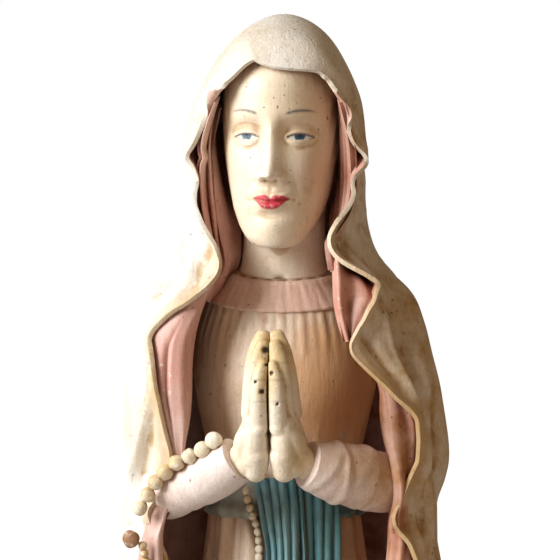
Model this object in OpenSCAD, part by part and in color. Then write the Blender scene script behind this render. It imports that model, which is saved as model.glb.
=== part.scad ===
// Standing figure in prayer, of cast and painted plaster, on a rocky base.
// Millimetres, +Z up. The figure faces -Y, and the origin is under the middle of the base.

/* [Figure] */
// Height of the figure, from the rock it stands on to the crown of the veil
figure_h = 400; // [320:10:500]
// Width across the mantle at the elbows
figure_w = 98; // [84:2:118]
// Depth from the front borders of the mantle to its back
figure_d = 56; // [48:2:68]
// Wall of the hollow gown casting
gown_wall = 4; // [3:0.5:6]
// Wall of the mantle casting
mantle_wall = 3.6; // [2.6:0.2:5]

/* [Head and neck] */
// Width of the head at the temples
head_w = 39; // [34:1:44]
// Radius of the tenon under the neck
tenon_r = 7; // [5:0.5:9]
// Length of the tenon under the neck
tenon_l = 13; // [8:1:18]

/* [Arms and hands] */
// Radius of the sleeve at the elbow
elbow_r = 7.5; // [6.5:0.5:9]
// Radius of the sleeve at the cuff
cuff_r = 5.6; // [5:0.2:6.4]
// Radius of a finger at its knuckle
finger_r = 2.4; // [2:0.1:2.8]
// Radius of the iron pin in each wrist
wrist_pin_r = 1; // [0.8:0.1:1.4]
// Length of the iron pin in each wrist
wrist_pin_l = 14; // [10:1:18]

/* [Sash] */
// Height of the band at the waist
sash_h = 12; // [9:1:15]
// Thickness of the band at the waist
sash_t = 1.6; // [1:0.2:2.4]
// Width of each hanging tail at the top
tail_w = 10.5; // [8:0.5:12]
// Thickness of the hanging tails
tail_t = 2.4; // [1.6:0.2:3.2]

/* [Rosary] */
// Diameter of the beads that lie on the forearm
bead_d = 4.7; // [3.8:0.1:5.2]
// Diameter of the beads of the two hanging strands
small_bead_d = 2.9; // [2.2:0.1:3.4]

/* [Base] */
// Width of the plinth
plinth_w = 122; // [112:2:150]
// Depth of the plinth
plinth_d = 112; // [104:2:140]
// Height of the plinth
plinth_h = 14; // [10:1:22]
// Height of the rock on the plinth
rock_h = 16; // [12:1:26]
// Thickness of the felt under the plinth
felt_t = 1.5; // [1:0.25:3]
// Side of the square timber inside the figure
batten_w = 12; // [9:1:15]
// Radius of the screw that holds the figure on its base
screw_r = 2.5; // [2:0.25:3]

/* [Hidden] */

// Play between glued castings, and between a pin and its hole
seat_gap = 0.3;
pin_gap = 0.05;
ground_z = felt_t + plinth_h + rock_h;
// The shape tables below are drawn for a figure 400 high, 98 wide and 56 deep.
sx = figure_w / 98;
sy = figure_d / 56;
sz = figure_h / 400;
cut = 0.5;  // how far a cutter runs past the face it opens

paint_cream = [0.87, 0.84, 0.76];
paint_pink = [0.80, 0.60, 0.55];
paint_flesh = [0.88, 0.80, 0.66];
paint_blue = [0.42, 0.66, 0.70];
paint_gown = [0.88, 0.80, 0.70];
paint_bead = [0.86, 0.80, 0.64];
paint_gold = [0.72, 0.56, 0.28];
paint_rock = [0.50, 0.49, 0.42];

// ---------------------------------------------------------------- helpers

// Catmull-Rom curve through the rows of a table, at row number t
function through(rows, t) =
    let (n = len(rows), i = max(0, min(floor(t), n - 2)), f = t - i,
         a = rows[max(i - 1, 0)], b = rows[i], c = rows[i + 1], d = rows[min(i + 2, n - 1)])
    0.5 * (2 * b + (c - a) * f + (2 * a - 5 * b + 4 * c - d) * f * f
           + (3 * b - a - 3 * c + d) * f * f * f);

// Row number at which the first column of a rising table reaches z
function row_at(rows, z, i = 0) =
    i >= len(rows) - 2 || z < rows[i + 1][0]
        ? i + (z - rows[i][0]) / (rows[i + 1][0] - rows[i][0])
        : row_at(rows, z, i + 1);

// Closed solid through a stack of rings that all have the same number of points
module loft(rings) {
    n = len(rings[0]);
    m = len(rings);
    polyhedron(
        points = [for (r = rings) each r],
        faces = [
            [for (i = [0 : n - 1]) i],
            for (j = [0 : m - 2]) for (i = [0 : n - 1]) each [
                [j * n + i, (j + 1) * n + i, j * n + (i + 1) % n],
                [j * n + (i + 1) % n, (j + 1) * n + i, (j + 1) * n + (i + 1) % n]],
            [for (i = [n - 1 : -1 : 0]) (m - 1) * n + i],
        ],
        convexity = 8);
}

// Closed sheet between an outer and an inner grid of points
module sheet(outer, inner) {
    n = len(outer[0]);
    m = len(outer);
    k = n * m;
    function quad(a, b, c, d) = [[a, b, c], [a, c, d]];
    polyhedron(
        points = [for (r = outer) each r, for (r = inner) each r],
        faces = [
            for (j = [0 : m - 2]) for (i = [0 : n - 2]) let (p = j * n + i) each concat(
                quad(p, p + n, p + n + 1, p + 1),
                quad(k + p, k + p + 1, k + p + n + 1, k + p + n)),
            for (i = [0 : n - 2]) each concat(
                quad(i, i + 1, k + i + 1, k + i),
                quad(k - n + i, 2 * k - n + i, 2 * k - n + i + 1, k - n + i + 1)),
            for (j = [0 : m - 2]) let (p = j * n, q = p + n - 1) each concat(
                quad(p, k + p, k + p + n, p + n),
                quad(q, q + n, k + q + n, k + q)),
        ],
        convexity = 10);
}

// Castings that are carved to fit their neighbours are taken as one mesh
module carved() {
    resize([0, 0, 0]) children();
}

module ball(p, r, fn = 24) {
    translate(p) sphere(r = r, $fn = fn);
}

// A place on the figure, from a place in the shape tables
function place(p) = [p[0] * sx, p[1] * sy, ground_z + p[2] * sz];

// ---------------------------------------------------------------- gown

// height, half width, half depth, middle, depth of the folds
gown_rows = [
    [0.3, 45, 34.5, 1, 2.4],
    [30, 42, 32, 1, 2.6],
    [90, 36, 27.5, 1.5, 2.2],
    [170, 29.5, 23.5, 2, 1.7],
    [225, 25.5, 21, 2.5, 1.1],
    [250, 22.5, 19, 2.5, 0.6],
    [262, 21.5, 18, 2.5, 0.3],
    [275, 25, 20, 2.5, 0.2],
    [290, 27.5, 21, 2.5, 0.1],
    [303, 26.5, 19.5, 3, 0],
    [312, 23, 17, 3, 0],
    [317, 19, 15, 3, 0],
    [321, 15.5, 13, 2.5, 0],
];
gown_top = 321;
gown_folds = 14;

function gown_at(z) = through(gown_rows, row_at(gown_rows, z));

// Point on the gown at angle a and height z of the tables, moved out by grow
function gown_point(a, z, grow = 0) =
    let (g = gown_at(z), f = g[4] * cos(gown_folds * a + 90))
    [(g[1] * sx + grow + f) * cos(a), g[3] * sy + (g[2] * sy + grow + f) * sin(a),
     ground_z + z * sz];

gown_sides = 56;
gown_steps = 24;

// The gown's outside, moved out by grow and kept between two heights of the tables
module gown_solid(grow = 0, from = gown_rows[0][0], to = gown_top, sides = gown_sides, steps = gown_steps) {
    lift = [0, 0, max(0, grow)];
    loft([for (j = [0 : steps]) let (z = from + (to - from) * j / steps)
        [for (i = [0 : sides - 1])
            gown_point(360 * i / sides, z, grow) + (j == 0 ? -lift : (j == steps ? lift : lift * 0))]]);
}

// A ring of the gown's outside, moved out by grow, with flat ends at two heights
module gown_ring(grow, from, to) {
    intersection() {
        gown_solid(grow);
        translate([-figure_w, -figure_w, ground_z + from * sz])
            cube([2 * figure_w, 2 * figure_w, (to - from) * sz]);
    }
}

floor_t = 8;  // closed floor of the gown, which the screw draws down on the rock
hollow_top = 296;

module gown() {
    color(paint_gown) carved() difference() {
        gown_solid();
        gown_solid(-gown_wall, floor_t / sz, hollow_top, gown_sides / 2, gown_steps / 2);
        neck_socket();
        batten_space();
        sole_space();
    }
}

// The collar is a raised band round the neck of the gown
collar_t = 1.2;
collar_low = 311;
collar_high = 320;

module collar_band() {
    color(paint_pink) carved() difference() {
        gown_ring(collar_t + seat_gap, collar_low, collar_high);
        gown_solid(seat_gap);
        mantle_solid(seat_gap);
        fall_solid(-1, seat_gap);
        fall_solid(1, seat_gap);
        head_solid(seat_gap);
    }
}

// ---------------------------------------------------------------- head

// height, half width, half depth, middle
head_rows = [
    [321.5, 13.5, 13, 2],
    [326, 12, 11.5, 1.5],
    [332, 11.8, 12, 0.5],
    [336, 12.5, 16, -2.5],
    [342, 15.5, 19.5, -3],
    [352, 18, 22.5, -2],
    [364, 19.2, 23.5, -1],
    [376, 19.5, 23.5, 0],
    [386, 17.5, 21, 1],
    [392, 13, 15.5, 1.5],
    [395.5, 5, 6, 1.5],
];
nose_tip = [0, -27.5, 356.5];
nose_root = [0, -23.2, 368];

module head_solid(grow = 0, sides = 32, steps = 16) {
    loft([for (j = [0 : steps])
        let (h = through(head_rows, (len(head_rows) - 1) * j / steps),
             lift = j == 0 ? -grow : (j == steps ? grow : 0), w = head_w / 39)
        [for (i = [0 : sides - 1]) let (a = 360 * i / sides)
            [(h[1] * sx * w + grow) * cos(a), h[3] * sy + (h[2] * sy + grow) * sin(a),
             ground_z + h[0] * sz + lift]]]);
}

neck_y = 2 * sy;

module neck_socket() {
    translate([0, neck_y, ground_z + gown_top * sz - tenon_l - seat_gap])
        cylinder(r = tenon_r + pin_gap, h = tenon_l + 10, $fn = 48);
}

neck_pin_r = 2;
neck_pin_l = 24;
neck_z = ground_z + head_rows[0][0] * sz;
neck_pin_z = neck_z - tenon_l + 3;
nose_tip_r = 1.9;
nose_root_r = 1.3;

module head() {
    color(paint_flesh) difference() {
        union() {
            head_solid();
            translate([0, neck_y, neck_z - tenon_l])
                cylinder(r = tenon_r, h = tenon_l + 1, $fn = 48);
            hull() {
                ball(place(nose_tip), nose_tip_r, 16);
                ball(place(nose_root), nose_root_r, 16);
            }
        }
        translate([0, neck_y, neck_pin_z - pin_gap])
            cylinder(r = neck_pin_r + pin_gap, h = neck_pin_l + 2 * pin_gap, $fn = 24);
    }
}

// Iron pin cast into the neck
module neck_pin() {
    color("dimgray") translate([0, neck_y, neck_pin_z])
        cylinder(r = neck_pin_r, h = neck_pin_l, $fn = 24);
}

// ---------------------------------------------------------------- mantle

// Each row is one thread across the cloth, from border to border over the head or round the back:
// the y and z of its middle, the y and z of its two ends, their x, and the widest x
mantle_rows = [
    [-26.5, 383, -19, 373, 18.5, 18.6],
    [-16, 395, -16, 362, 22, 22.2],
    [1, 400, -14, 350, 23.5, 24.5],
    [17, 394, -14, 339, 24.5, 27],
    [26, 378, -16, 329, 24, 29.5],
    [28, 358, -19, 321, 23.5, 32.5],
    [27, 338, -22, 314, 26, 38.5],
    [27.5, 320, -24, 304, 29, 43.5],
    [28.5, 300, -25, 288, 31.5, 47],
    [29, 270, -25, 265, 38, 49],
    [29.5, 230, -25, 228, 38, 48.5],
    [31.5, 170, -26, 170, 36.5, 46],
    [35, 90, -29, 90, 36, 46],
    [38, 30, -31, 30, 37, 48.5],
    [39.5, 0.3, -32.5, 0.3, 38, 50.5],
];
mantle_last = len(mantle_rows) - 1;
mantle_folds = 9;

fold_depth = 1.6;
fold_from = 6;  // row of the table where the hanging folds begin
fold_rows = 4;  // rows over which they reach their full depth

// Depth of the hanging folds grows from the shoulders to the hem
function mantle_fold(t) = fold_depth * min(1, max(0, (t - fold_from) / fold_rows));

function mantle_point(s, t) =
    let (k = through(mantle_rows, t),
         run = [k[2] - k[0], k[3] - k[1]], d = norm(run), e = run / d,
         reach = min(1, k[4] / k[5]), turn = t < 0.8 ? asin(reach) : 180 - asin(reach),
         half = d / (1 - cos(turn)), a = s * turn,
         f = 1 + mantle_fold(t) / 40 * cos(360 * mantle_folds * s / 2))
    place([k[5] * sin(a) * f, k[0] + e[0] * half * (1 - cos(a)) * f, k[1] + e[1] * half * (1 - cos(a))]);

function mantle_normal(s, t) =
    let (h = 0.02, u = mantle_point(s + h, t) - mantle_point(s - h, t),
         v = mantle_point(s, min(t + h, mantle_last)) - mantle_point(s, max(t - h, 0)),
         n = cross(u, v))
    n / norm(n);

module mantle_solid(grow = 0, across = 32, steps = 2) {
    count = mantle_last * steps;
    ends = 1 + grow / 60;
    function grid(offset) = [for (j = [0 : count]) let (t = j / steps)
        [for (i = [0 : across]) let (s = (-1 + 2 * i / across) * ends)
            mantle_point(s, t) + offset * mantle_normal(s, t)]];
    sheet(grid(grow), grid(-mantle_wall - grow));
}

module mantle() {
    color(paint_cream) carved() difference() {
        mantle_solid();
        gown_solid(seat_gap);
        head_solid(seat_gap);
        sleeve_solid(-1, seat_gap);
        sleeve_solid(1, seat_gap);
        sash_zone(seat_gap);
        below_ground();
    }
}

module below_ground() {
    translate([-figure_w, -figure_w, 0]) cube([2 * figure_w, 2 * figure_w, ground_z + seat_gap]);
}

// The front borders of the mantle are cast apart, because the turned-back cloth undercuts the chest.
// Each row: height, then x and y of the border against the mantle, the roll, and the turned-back edge
fall_rows = [
    [0.3, 37, -31.5, 33, -38, 42, -36],
    [60, 35.5, -29.5, 31, -36, 40.5, -34.5],
    [130, 35, -27.5, 28, -33, 40, -33],
    [190, 35.5, -25.5, 29, -31, 41, -31],
    [240, 37.5, -25, 33, -30, 43, -29.5],
    [262, 38, -25, 37, -30.5, 43, -28.5],
    [285, 32, -25, 28.5, -29, 37, -30],
    [300, 29, -24.5, 24, -27, 38, -28.5],
    [312, 25, -22.5, 20.5, -24, 33, -26],
    [322, 23.5, -19.5, 19, -20.5, 27, -22],
    [330, 24.5, -17, 21.5, -18, 26, -19],
];
fall_t = 2.6;

module fall_solid(side, grow = 0, steps = 20) {
    rings = [for (j = [0 : steps]) let (r = through(fall_rows, (len(fall_rows) - 1) * j / steps),
            z = ground_z + r[0] * sz + (j == 0 ? -grow : (j == steps ? grow : 0)),
            back = [r[1] * sx, r[2] * sy], roll = [r[3] * sx, r[4] * sy],
            edge = [r[5] * sx, r[6] * sy], w = fall_t / 2 + grow)
        [
            [back[0] - w, back[1] + w, z],
            [roll[0] - w, roll[1] + w, z],
            [roll[0] - w, roll[1] - w, z],
            [roll[0] + w, roll[1] - 1.4 * w, z],
            [edge[0], edge[1] - w, z],
            [edge[0] + w, edge[1], z],
            [edge[0], edge[1] + w, z],
            [back[0] + w, back[1] - 0.4 * w, z],
        ]];
    mirror([side < 0 ? 1 : 0, 0, 0]) loft(rings);
}

module fall(side) {
    color(paint_pink) carved() difference() {
        fall_solid(side);
        mantle_solid(seat_gap);
        gown_solid(seat_gap);
        head_solid(seat_gap);
        sleeve_solid(side, seat_gap);
        sash_zone(seat_gap);
        below_ground();
    }
}

// ---------------------------------------------------------------- arms and hands

shoulder = [27.5, 4, 297];
shoulder_r = 12;
elbow = [33, -19, 257];
wrist = [8.8, -37, 266.5];

function arm_side(p, side) = place([side * p[0], p[1], p[2]]);

module sleeve_solid(side, grow = 0) {
    hull() {
        ball(arm_side(shoulder, side), shoulder_r * sx + grow, 20);
        ball(arm_side(elbow, side), elbow_r + grow, 20);
    }
    hull() {
        ball(arm_side(elbow, side), elbow_r + grow, 20);
        ball(arm_side(wrist, side), cuff_r + grow, 20);
    }
}

module sleeve(side) {
    color(paint_pink) carved() difference() {
        sleeve_solid(side);
        gown_solid(seat_gap);
        sash_zone(seat_gap);
        hand_solid(side, seat_gap);
        hand_gap_space();
        wrist_pin(side, pin_gap);
    }
}

// A hand's places: the heel, the knuckles and the fingertips, from the little finger to the index
heel = [5.4, -37.5, 268];
palm_r = 5;
knuckles = [[3.6, -43.6, 282], [3.4, -39.6, 284], [3.4, -35.6, 284.5], [3.6, -31.6, 283]];
tips = [[2.1, -45, 295.5], [2, -41.8, 300], [2, -38.2, 301.5], [2.1, -34.6, 298.5]];
thumb = [[4.4, -30.5, 274], [2.6, -29.4, 287]];

module hand_solid(side, grow = 0) {
    hull() {
        ball(arm_side(heel, side), palm_r + grow, 20);
        for (i = [0, 3]) ball(arm_side(knuckles[i], side), finger_r + 1 + grow, 16);
    }
    for (i = [0 : 3]) hull() {
        ball(arm_side(knuckles[i], side), finger_r + grow, 16);
        ball(arm_side(tips[i], side), 0.75 * finger_r + grow, 16);
    }
    hull() {
        ball(arm_side(thumb[0], side), finger_r + 0.6 + grow, 16);
        ball(arm_side(thumb[1], side), 0.8 * finger_r + grow, 16);
    }
}

// The two hands meet on the middle plane
module hand_gap_space() {
    translate([-seat_gap / 2, -figure_d * 2, ground_z]) cube([seat_gap, figure_d * 4, figure_h]);
}

module own_side(side) {
    translate([side < 0 ? -figure_w : seat_gap / 2, -figure_d * 2, ground_z])
        cube([figure_w - seat_gap / 2, figure_d * 4, figure_h]);
}

module hand(side) {
    color(paint_flesh) carved() difference() {
        intersection() {
            hand_solid(side);
            own_side(side);
        }
        wrist_pin(side, pin_gap);
    }
}

// Iron pin from the sleeve into the heel of the hand
module wrist_pin(side, grow = 0) {
    from = arm_side(wrist, side);
    to = arm_side(heel, side);
    middle = (from + to) / 2;
    dir = arm_side([6.2, -38.5, 268], side) - arm_side(elbow, side);
    translate(middle) rotate([0, acos(dir[2] / norm(dir)), atan2(dir[1], dir[0])])
        translate([0, 0, -wrist_pin_l / 2 - grow])
            cylinder(r = wrist_pin_r + grow, h = wrist_pin_l + 2 * grow, $fn = 24);
}

module wrist_pins() {
    color("dimgray") {
        wrist_pin(-1);
        wrist_pin(1);
    }
}

// ---------------------------------------------------------------- sash

sash_low = 250;

module sash_zone(grow = 0) {
    gown_ring(seat_gap + sash_t + grow, sash_low - grow / sz, sash_low + (sash_h + grow) / sz);
}

module waist_sash() {
    color(paint_blue) carved() difference() {
        sash_zone();
        gown_solid(seat_gap);
    }
}

tail_low = 104;
tail_gap = 0.8;
tail_spread = 1.35;  // width at the end, as a share of the width at the top

// The tails hang under the band, a little to the left of the figure's middle
tail_middle = 5;

tail_drop = 12;  // how much further the right tail hangs

module tail_outline(side) {
    top = ground_z + sash_low * sz - seat_gap;
    low = ground_z + tail_low * sz - (side < 0 ? tail_drop : 0);
    polygon([
        [tail_middle + side * tail_gap / 2, top],
        [tail_middle + side * (tail_gap / 2 + tail_w), top],
        [tail_middle + side * (tail_gap / 2 + tail_w * tail_spread), low],
        [tail_middle + side * tail_gap / 2, low]]);
}

module sash_tail(side) {
    color(paint_blue) carved() intersection() {
        difference() {
            gown_solid(seat_gap + tail_t);
            gown_solid(seat_gap);
        }
        rotate([90, 0, 0]) linear_extrude(2 * figure_d) tail_outline(side);
    }
}

// ---------------------------------------------------------------- rosary

// Beads set out along a list of places, one step apart
function walk(pts, step, i = 0, done = 0) =
    i >= len(pts) - 1 ? [] :
    let (a = pts[i], b = pts[i + 1], d = norm(b - a), n = floor((d - done) / step))
    concat([for (k = [0 : n]) if (done + k * step <= d) a + (b - a) * (done + k * step) / d],
           walk(pts, step, i + 1, done + (n + 1) * step - d));

bead_gap = 0.25;  // between one bead and the next, and between a bead and what it lies on

// A place lifted off the front of the gown
function gown_front(x, z, lift) =
    let (g = gown_at(z), r = g[4] + bead_gap + lift, w = g[1] * sx + r)
    [x * sx, g[3] * sy - (g[2] * sy + r) * sqrt(max(0, 1 - pow(x * sx / w, 2))), ground_z + z * sz];

fall_face = 0.6 * fall_t;  // from the line of the fall's table to its face

// A place lifted off the front of the right fall, between its roll and its turned-back edge
function fall_front(x, z, lift) =
    let (r = through(fall_rows, row_at(fall_rows, z)), f = (-x - r[3]) / (r[5] - r[3]))
    [x * sx, (r[4] + (r[6] - r[4]) * f) * sy - fall_face - bead_gap - lift, ground_z + z * sz];

// The large beads lie along the top of the right forearm and over the fall at the elbow.
// A place on the top of the right forearm, a share of the way from the elbow to the wrist
function on_forearm(f) =
    let (e = arm_side(elbow, -1), w = arm_side(wrist, -1), along = (w - e) / norm(w - e),
         side = cross(along, [0, 0, 1]), out = side / norm(side), up = cross(out, along),
         r = elbow_r + (cuff_r - elbow_r) * f + bead_d / 2 + bead_gap)
    e + (w - e) * f + (up * cos(bead_turn) + out * sin(bead_turn)) * r;

corner_room = 0.6;  // keeps beads apart where their line turns
fall_room = 0.2;  // and from the folds of the fall
bead_turn = 40;  // from the top of the forearm towards its front
beads_from = 0.7;
beads_leave = 0.5;
before_elbow = [-33.5, -34.4, 265];
over_elbow = [[-38, 260], [-41, 253.5], [-42, 248.5]];
large_bead_path = [
    on_forearm(beads_from), on_forearm(beads_leave), place(before_elbow),
    for (p = over_elbow) fall_front(p[0], p[1], bead_d / 2 + fall_room)];

large_beads = walk(large_bead_path, bead_d + corner_room);

module rosary_large_beads() {
    color(paint_bead) for (p = large_beads) ball(p, bead_d / 2);
}

// Height in the tables of a piece that hangs a distance below the last of some beads
function below_last(beads, gap) = (beads[len(beads) - 1][2] - ground_z - gap - bead_gap) / sz;

// The boss hangs just below the last large bead
boss_x = -42;
boss_r = 3;
boss_t = 1.6;
boss_z = below_last(large_beads, bead_d / 2 + boss_r);

module rosary_boss() {
    color(paint_gold) translate(fall_front(boss_x, boss_z, boss_t)) rotate([90, 0, 0]) {
        cylinder(r = boss_r, h = boss_t, $fn = 32);
        cylinder(r = boss_r * 0.6, h = boss_t * 1.5, $fn = 32);
    }
}

small_step = small_bead_d + bead_gap / 2;
outer_top = boss_z - (boss_r + small_bead_d / 2 + bead_gap) / sz;
outer_strand = [[-41.5, outer_top], [-40.5, 225], [-38.5, 207], [-35, 188]];
inner_strand = [[-10, 247], [-9.6, 236], [-11, 206], [-14.5, 184], [-19.5, 166]];
inner_beads = walk([for (q = inner_strand) gown_front(q[0], q[1], small_bead_d / 2)], small_step);

module rosary_outer_strand() {
    color(paint_bead)
        for (p = walk([for (q = outer_strand) fall_front(q[0], q[1], small_bead_d / 2)], small_step))
            ball(p, small_bead_d / 2, 20);
}

module rosary_inner_strand() {
    color(paint_bead) for (p = inner_beads) ball(p, small_bead_d / 2, 20);
}

// The medal that joins the strand to the short row of beads and the cross below it
medal_r = 3.4;
medal_t = 1.4;
medal_z = below_last(inner_beads, small_bead_d / 2 + medal_r);
pendant_x = -20;
pendant_count = 5;
pendant_z = medal_z - (medal_r + small_bead_d / 2 + bead_gap) / sz;
cross_h = 14;
cross_w = 8;
cross_t = 1.6;
cross_bar = 1.9;
cross_arm = cross_h * 0.1;  // height of the arms over the middle
cross_z = pendant_z - (pendant_count - 0.5) * small_step / sz - cross_h / 2 / sz;

module rosary_medal() {
    color(paint_gold) translate(gown_front(pendant_x, medal_z, medal_t / 2)) rotate([90, 0, 0])
        cylinder(r = medal_r, h = medal_t, center = true, $fn = 32);
}

module rosary_pendant_beads() {
    color(paint_bead) for (i = [0 : pendant_count - 1])
        ball(gown_front(pendant_x, pendant_z - i * small_step / sz, small_bead_d / 2), small_bead_d / 2, 20);
}

module rosary_crucifix() {
    color(paint_gold) translate(gown_front(pendant_x, cross_z, cross_t / 2)) rotate([90, 0, 0]) {
        translate([-cross_bar / 2, -cross_h / 2, -cross_t / 2]) cube([cross_bar, cross_h, cross_t]);
        translate([-cross_w / 2, cross_arm, -cross_t / 2]) cube([cross_w, cross_bar, cross_t]);
    }
}

// ---------------------------------------------------------------- feet

foot_x = 11;

// The instep, the big toe and the small toes: out, forward, up and radius
foot_balls = [[0, -30, 5, 5], [1.5, -40, 3.2, 3.6], [3.5, -37, 3, 3.2]];

// Heel to toe, rounded, with the toes turned out a little
module foot_solid(side, grow = 0) {
    hull() for (b = foot_balls)
        ball([side * (foot_x * sx + b[0]), b[1] * sy, ground_z + b[2]], b[3] + grow, 20);
}

module above_ground() {
    translate([-figure_w, -figure_w, ground_z + seat_gap / 2]) cube(2 * figure_w);
}

module sole_space() {
    foot_solid(-1, seat_gap);
    foot_solid(1, seat_gap);
}

module foot(side) {
    color(paint_flesh) carved() intersection() {
        foot_solid(side);
        above_ground();
    }
}

rose_r = 3.2;
rose_h = 2;
rose_at = [12.4, -38.5];
rose_z = 6.5;

// One rose on the instep of each foot
module foot_roses() {
    color(paint_gold) carved() difference() {
        for (side = [-1, 1]) translate([side * rose_at[0] * sx, rose_at[1] * sy, ground_z + rose_z]) {
            cylinder(r = rose_r, h = rose_h, $fn = 32);
            translate([0, 0, rose_h]) sphere(r = rose_r / 2, $fn = 24);
        }
        foot_solid(-1, bead_gap);
        foot_solid(1, bead_gap);
    }
}

// ---------------------------------------------------------------- base

corner = 26;  // how much of each corner the plinth's eight-sided outline cuts off
corner_share = 0.6;  // of an inset, by which the cut corner shortens
middle_inset = 4;
ledge_inset = 2;
felt_inset = 3;
screw_play = 0.4;

module octagon(inset) {
    w = plinth_w / 2 - inset;
    d = plinth_d / 2 - inset;
    c = corner - inset * corner_share;
    polygon([[w, -d + c], [w, d - c], [w - c, d], [-w + c, d],
             [-w, d - c], [-w, -d + c], [-w + c, -d], [w - c, -d]]);
}

step_h = plinth_h * 0.45;
ledge_h = plinth_h * 0.2;
washer_r = 7;
washer_t = 1.2;
head_h = 2.6;
recess_h = washer_t + head_h + 0.4;

module plinth() {
    color(paint_cream) difference() {
        union() {
            translate([0, 0, felt_t]) linear_extrude(step_h) octagon(0);
            translate([0, 0, felt_t + step_h])
                linear_extrude(plinth_h - step_h - ledge_h) octagon(middle_inset);
            translate([0, 0, felt_t + plinth_h - ledge_h]) linear_extrude(ledge_h) octagon(ledge_inset);
        }
        translate([0, 0, felt_t - cut]) cylinder(r = washer_r + 0.5, h = recess_h + cut, $fn = 48);
        screw_hole();
    }
}

module felt_pad() {
    color("darkolivegreen") linear_extrude(felt_t) octagon(felt_inset);
}

module screw_hole() {
    translate([0, 0, -cut]) cylinder(r = screw_r + screw_play, h = ground_z + cut * 2, $fn = 32);
}

rock_steps = 5;
rock_sides = 36;
rock_inset = 7.5;  // of the rock's foot from the plinth's sides
rock_batter = [4.5, 5];  // how far its sides and its front lean in
rock_share = 0.97;
rock_power = 2.6;  // 2 is an ellipse, more is squarer

// Rough outline of the rock at level f, from 0 on the plinth to 1 under the figure
function rock_point(a, f) =
    let (rough = 1.5 * sin(5 * a + 40 * f) + 1.1 * sin(9 * a - 70 * f) + 0.9 * sin(14 * a + 200 * f),
         w = plinth_w / 2 - rock_inset - rock_batter[0] * f * f + rough * (1 - f * 0.5),
         d = plinth_d / 2 - rock_inset - rock_batter[1] * f * f + rough * (1 - f * 0.5),
         c = pow(abs(cos(a)), 0.8) * sign(cos(a)), s = pow(abs(sin(a)), 0.8) * sign(sin(a)),
         k = rock_share / pow(pow(abs(c), rock_power) + pow(abs(s), rock_power), 1 / rock_power))
    [w * c * k, d * s * k, felt_t + plinth_h + f * rock_h];

module rock() {
    color(paint_rock) difference() {
        loft([for (j = [0 : rock_steps])
            [for (i = [0 : rock_sides - 1]) rock_point(360 / rock_sides * i, j / rock_steps)]]);
        screw_hole();
    }
}

screw_l = ground_z + floor_t + 22;
screw_z = felt_t + recess_h - washer_t - head_h;

module base_screw() {
    color("silver") {
        translate([0, 0, screw_z]) cylinder(r = screw_r * 2, h = head_h, $fn = 32);
        translate([0, 0, screw_z]) cylinder(r = screw_r, h = screw_l, $fn = 32);
    }
}

module base_washer() {
    color("silver") translate([0, 0, felt_t + recess_h - washer_t]) difference() {
        cylinder(r = washer_r, h = washer_t, $fn = 48);
        translate([0, 0, -cut]) cylinder(r = screw_r + pin_gap, h = washer_t + 2 * cut, $fn = 32);
    }
}

batten_h = 200;
batten_hole = floor_t + 36;

module batten_space() {
    translate([0, 0, ground_z - cut]) cylinder(r = screw_r + screw_play, h = floor_t + 2 * cut, $fn = 32);
}

module batten() {
    color("burlywood") difference() {
        translate([-batten_w / 2, -batten_w / 2, ground_z + floor_t + seat_gap])
            cube([batten_w, batten_w, batten_h * sz]);
        translate([0, 0, ground_z]) cylinder(r = screw_r + pin_gap, h = batten_hole, $fn = 32);
    }
}

// ---------------------------------------------------------------- nodes

plinth();
rock();
felt_pad();
base_screw();
base_washer();
batten();
gown();
mantle();
fall(-1);  // right_fall
fall(1);  // left_fall
collar_band();
head();
neck_pin();
sleeve(-1);  // right_sleeve
sleeve(1);  // left_sleeve
hand(-1);  // right_hand
hand(1);  // left_hand
wrist_pins();
waist_sash();
sash_tail(-1);  // right_sash_tail
sash_tail(1);  // left_sash_tail
rosary_large_beads();
rosary_boss();
rosary_outer_strand();
rosary_inner_strand();
rosary_medal();
rosary_pendant_beads();
rosary_crucifix();
foot(-1);  // right_foot
foot(1);  // left_foot
foot_roses();
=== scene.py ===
import bpy
import math
import numpy as np
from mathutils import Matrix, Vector
from mathutils.bvhtree import BVHTree


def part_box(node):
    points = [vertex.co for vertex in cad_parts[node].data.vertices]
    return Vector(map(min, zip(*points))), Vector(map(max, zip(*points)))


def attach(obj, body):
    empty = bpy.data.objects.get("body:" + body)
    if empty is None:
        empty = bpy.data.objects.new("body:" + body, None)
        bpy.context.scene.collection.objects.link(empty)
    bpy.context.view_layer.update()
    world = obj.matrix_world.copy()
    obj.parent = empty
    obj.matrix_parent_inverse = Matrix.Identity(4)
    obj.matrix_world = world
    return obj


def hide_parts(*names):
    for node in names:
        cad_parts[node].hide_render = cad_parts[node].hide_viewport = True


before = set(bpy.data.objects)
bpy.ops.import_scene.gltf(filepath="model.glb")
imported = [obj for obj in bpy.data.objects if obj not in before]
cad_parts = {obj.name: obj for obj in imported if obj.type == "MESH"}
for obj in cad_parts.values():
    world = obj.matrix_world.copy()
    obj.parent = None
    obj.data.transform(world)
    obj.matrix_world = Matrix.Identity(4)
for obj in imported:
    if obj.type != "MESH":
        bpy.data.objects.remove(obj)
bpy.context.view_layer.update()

# The shapes below are in figure units: one unit is a four-hundredth of the figure's height,
# x across, y back from the middle, z up from the rock.
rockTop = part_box("rock")[1].z
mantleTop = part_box("mantle")[1].z
unit = (mantleTop - rockTop) / 400
seed = 7


def place(points):
    out = np.array(points, float) * unit
    out[..., 2] += rockTop
    return out


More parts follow.
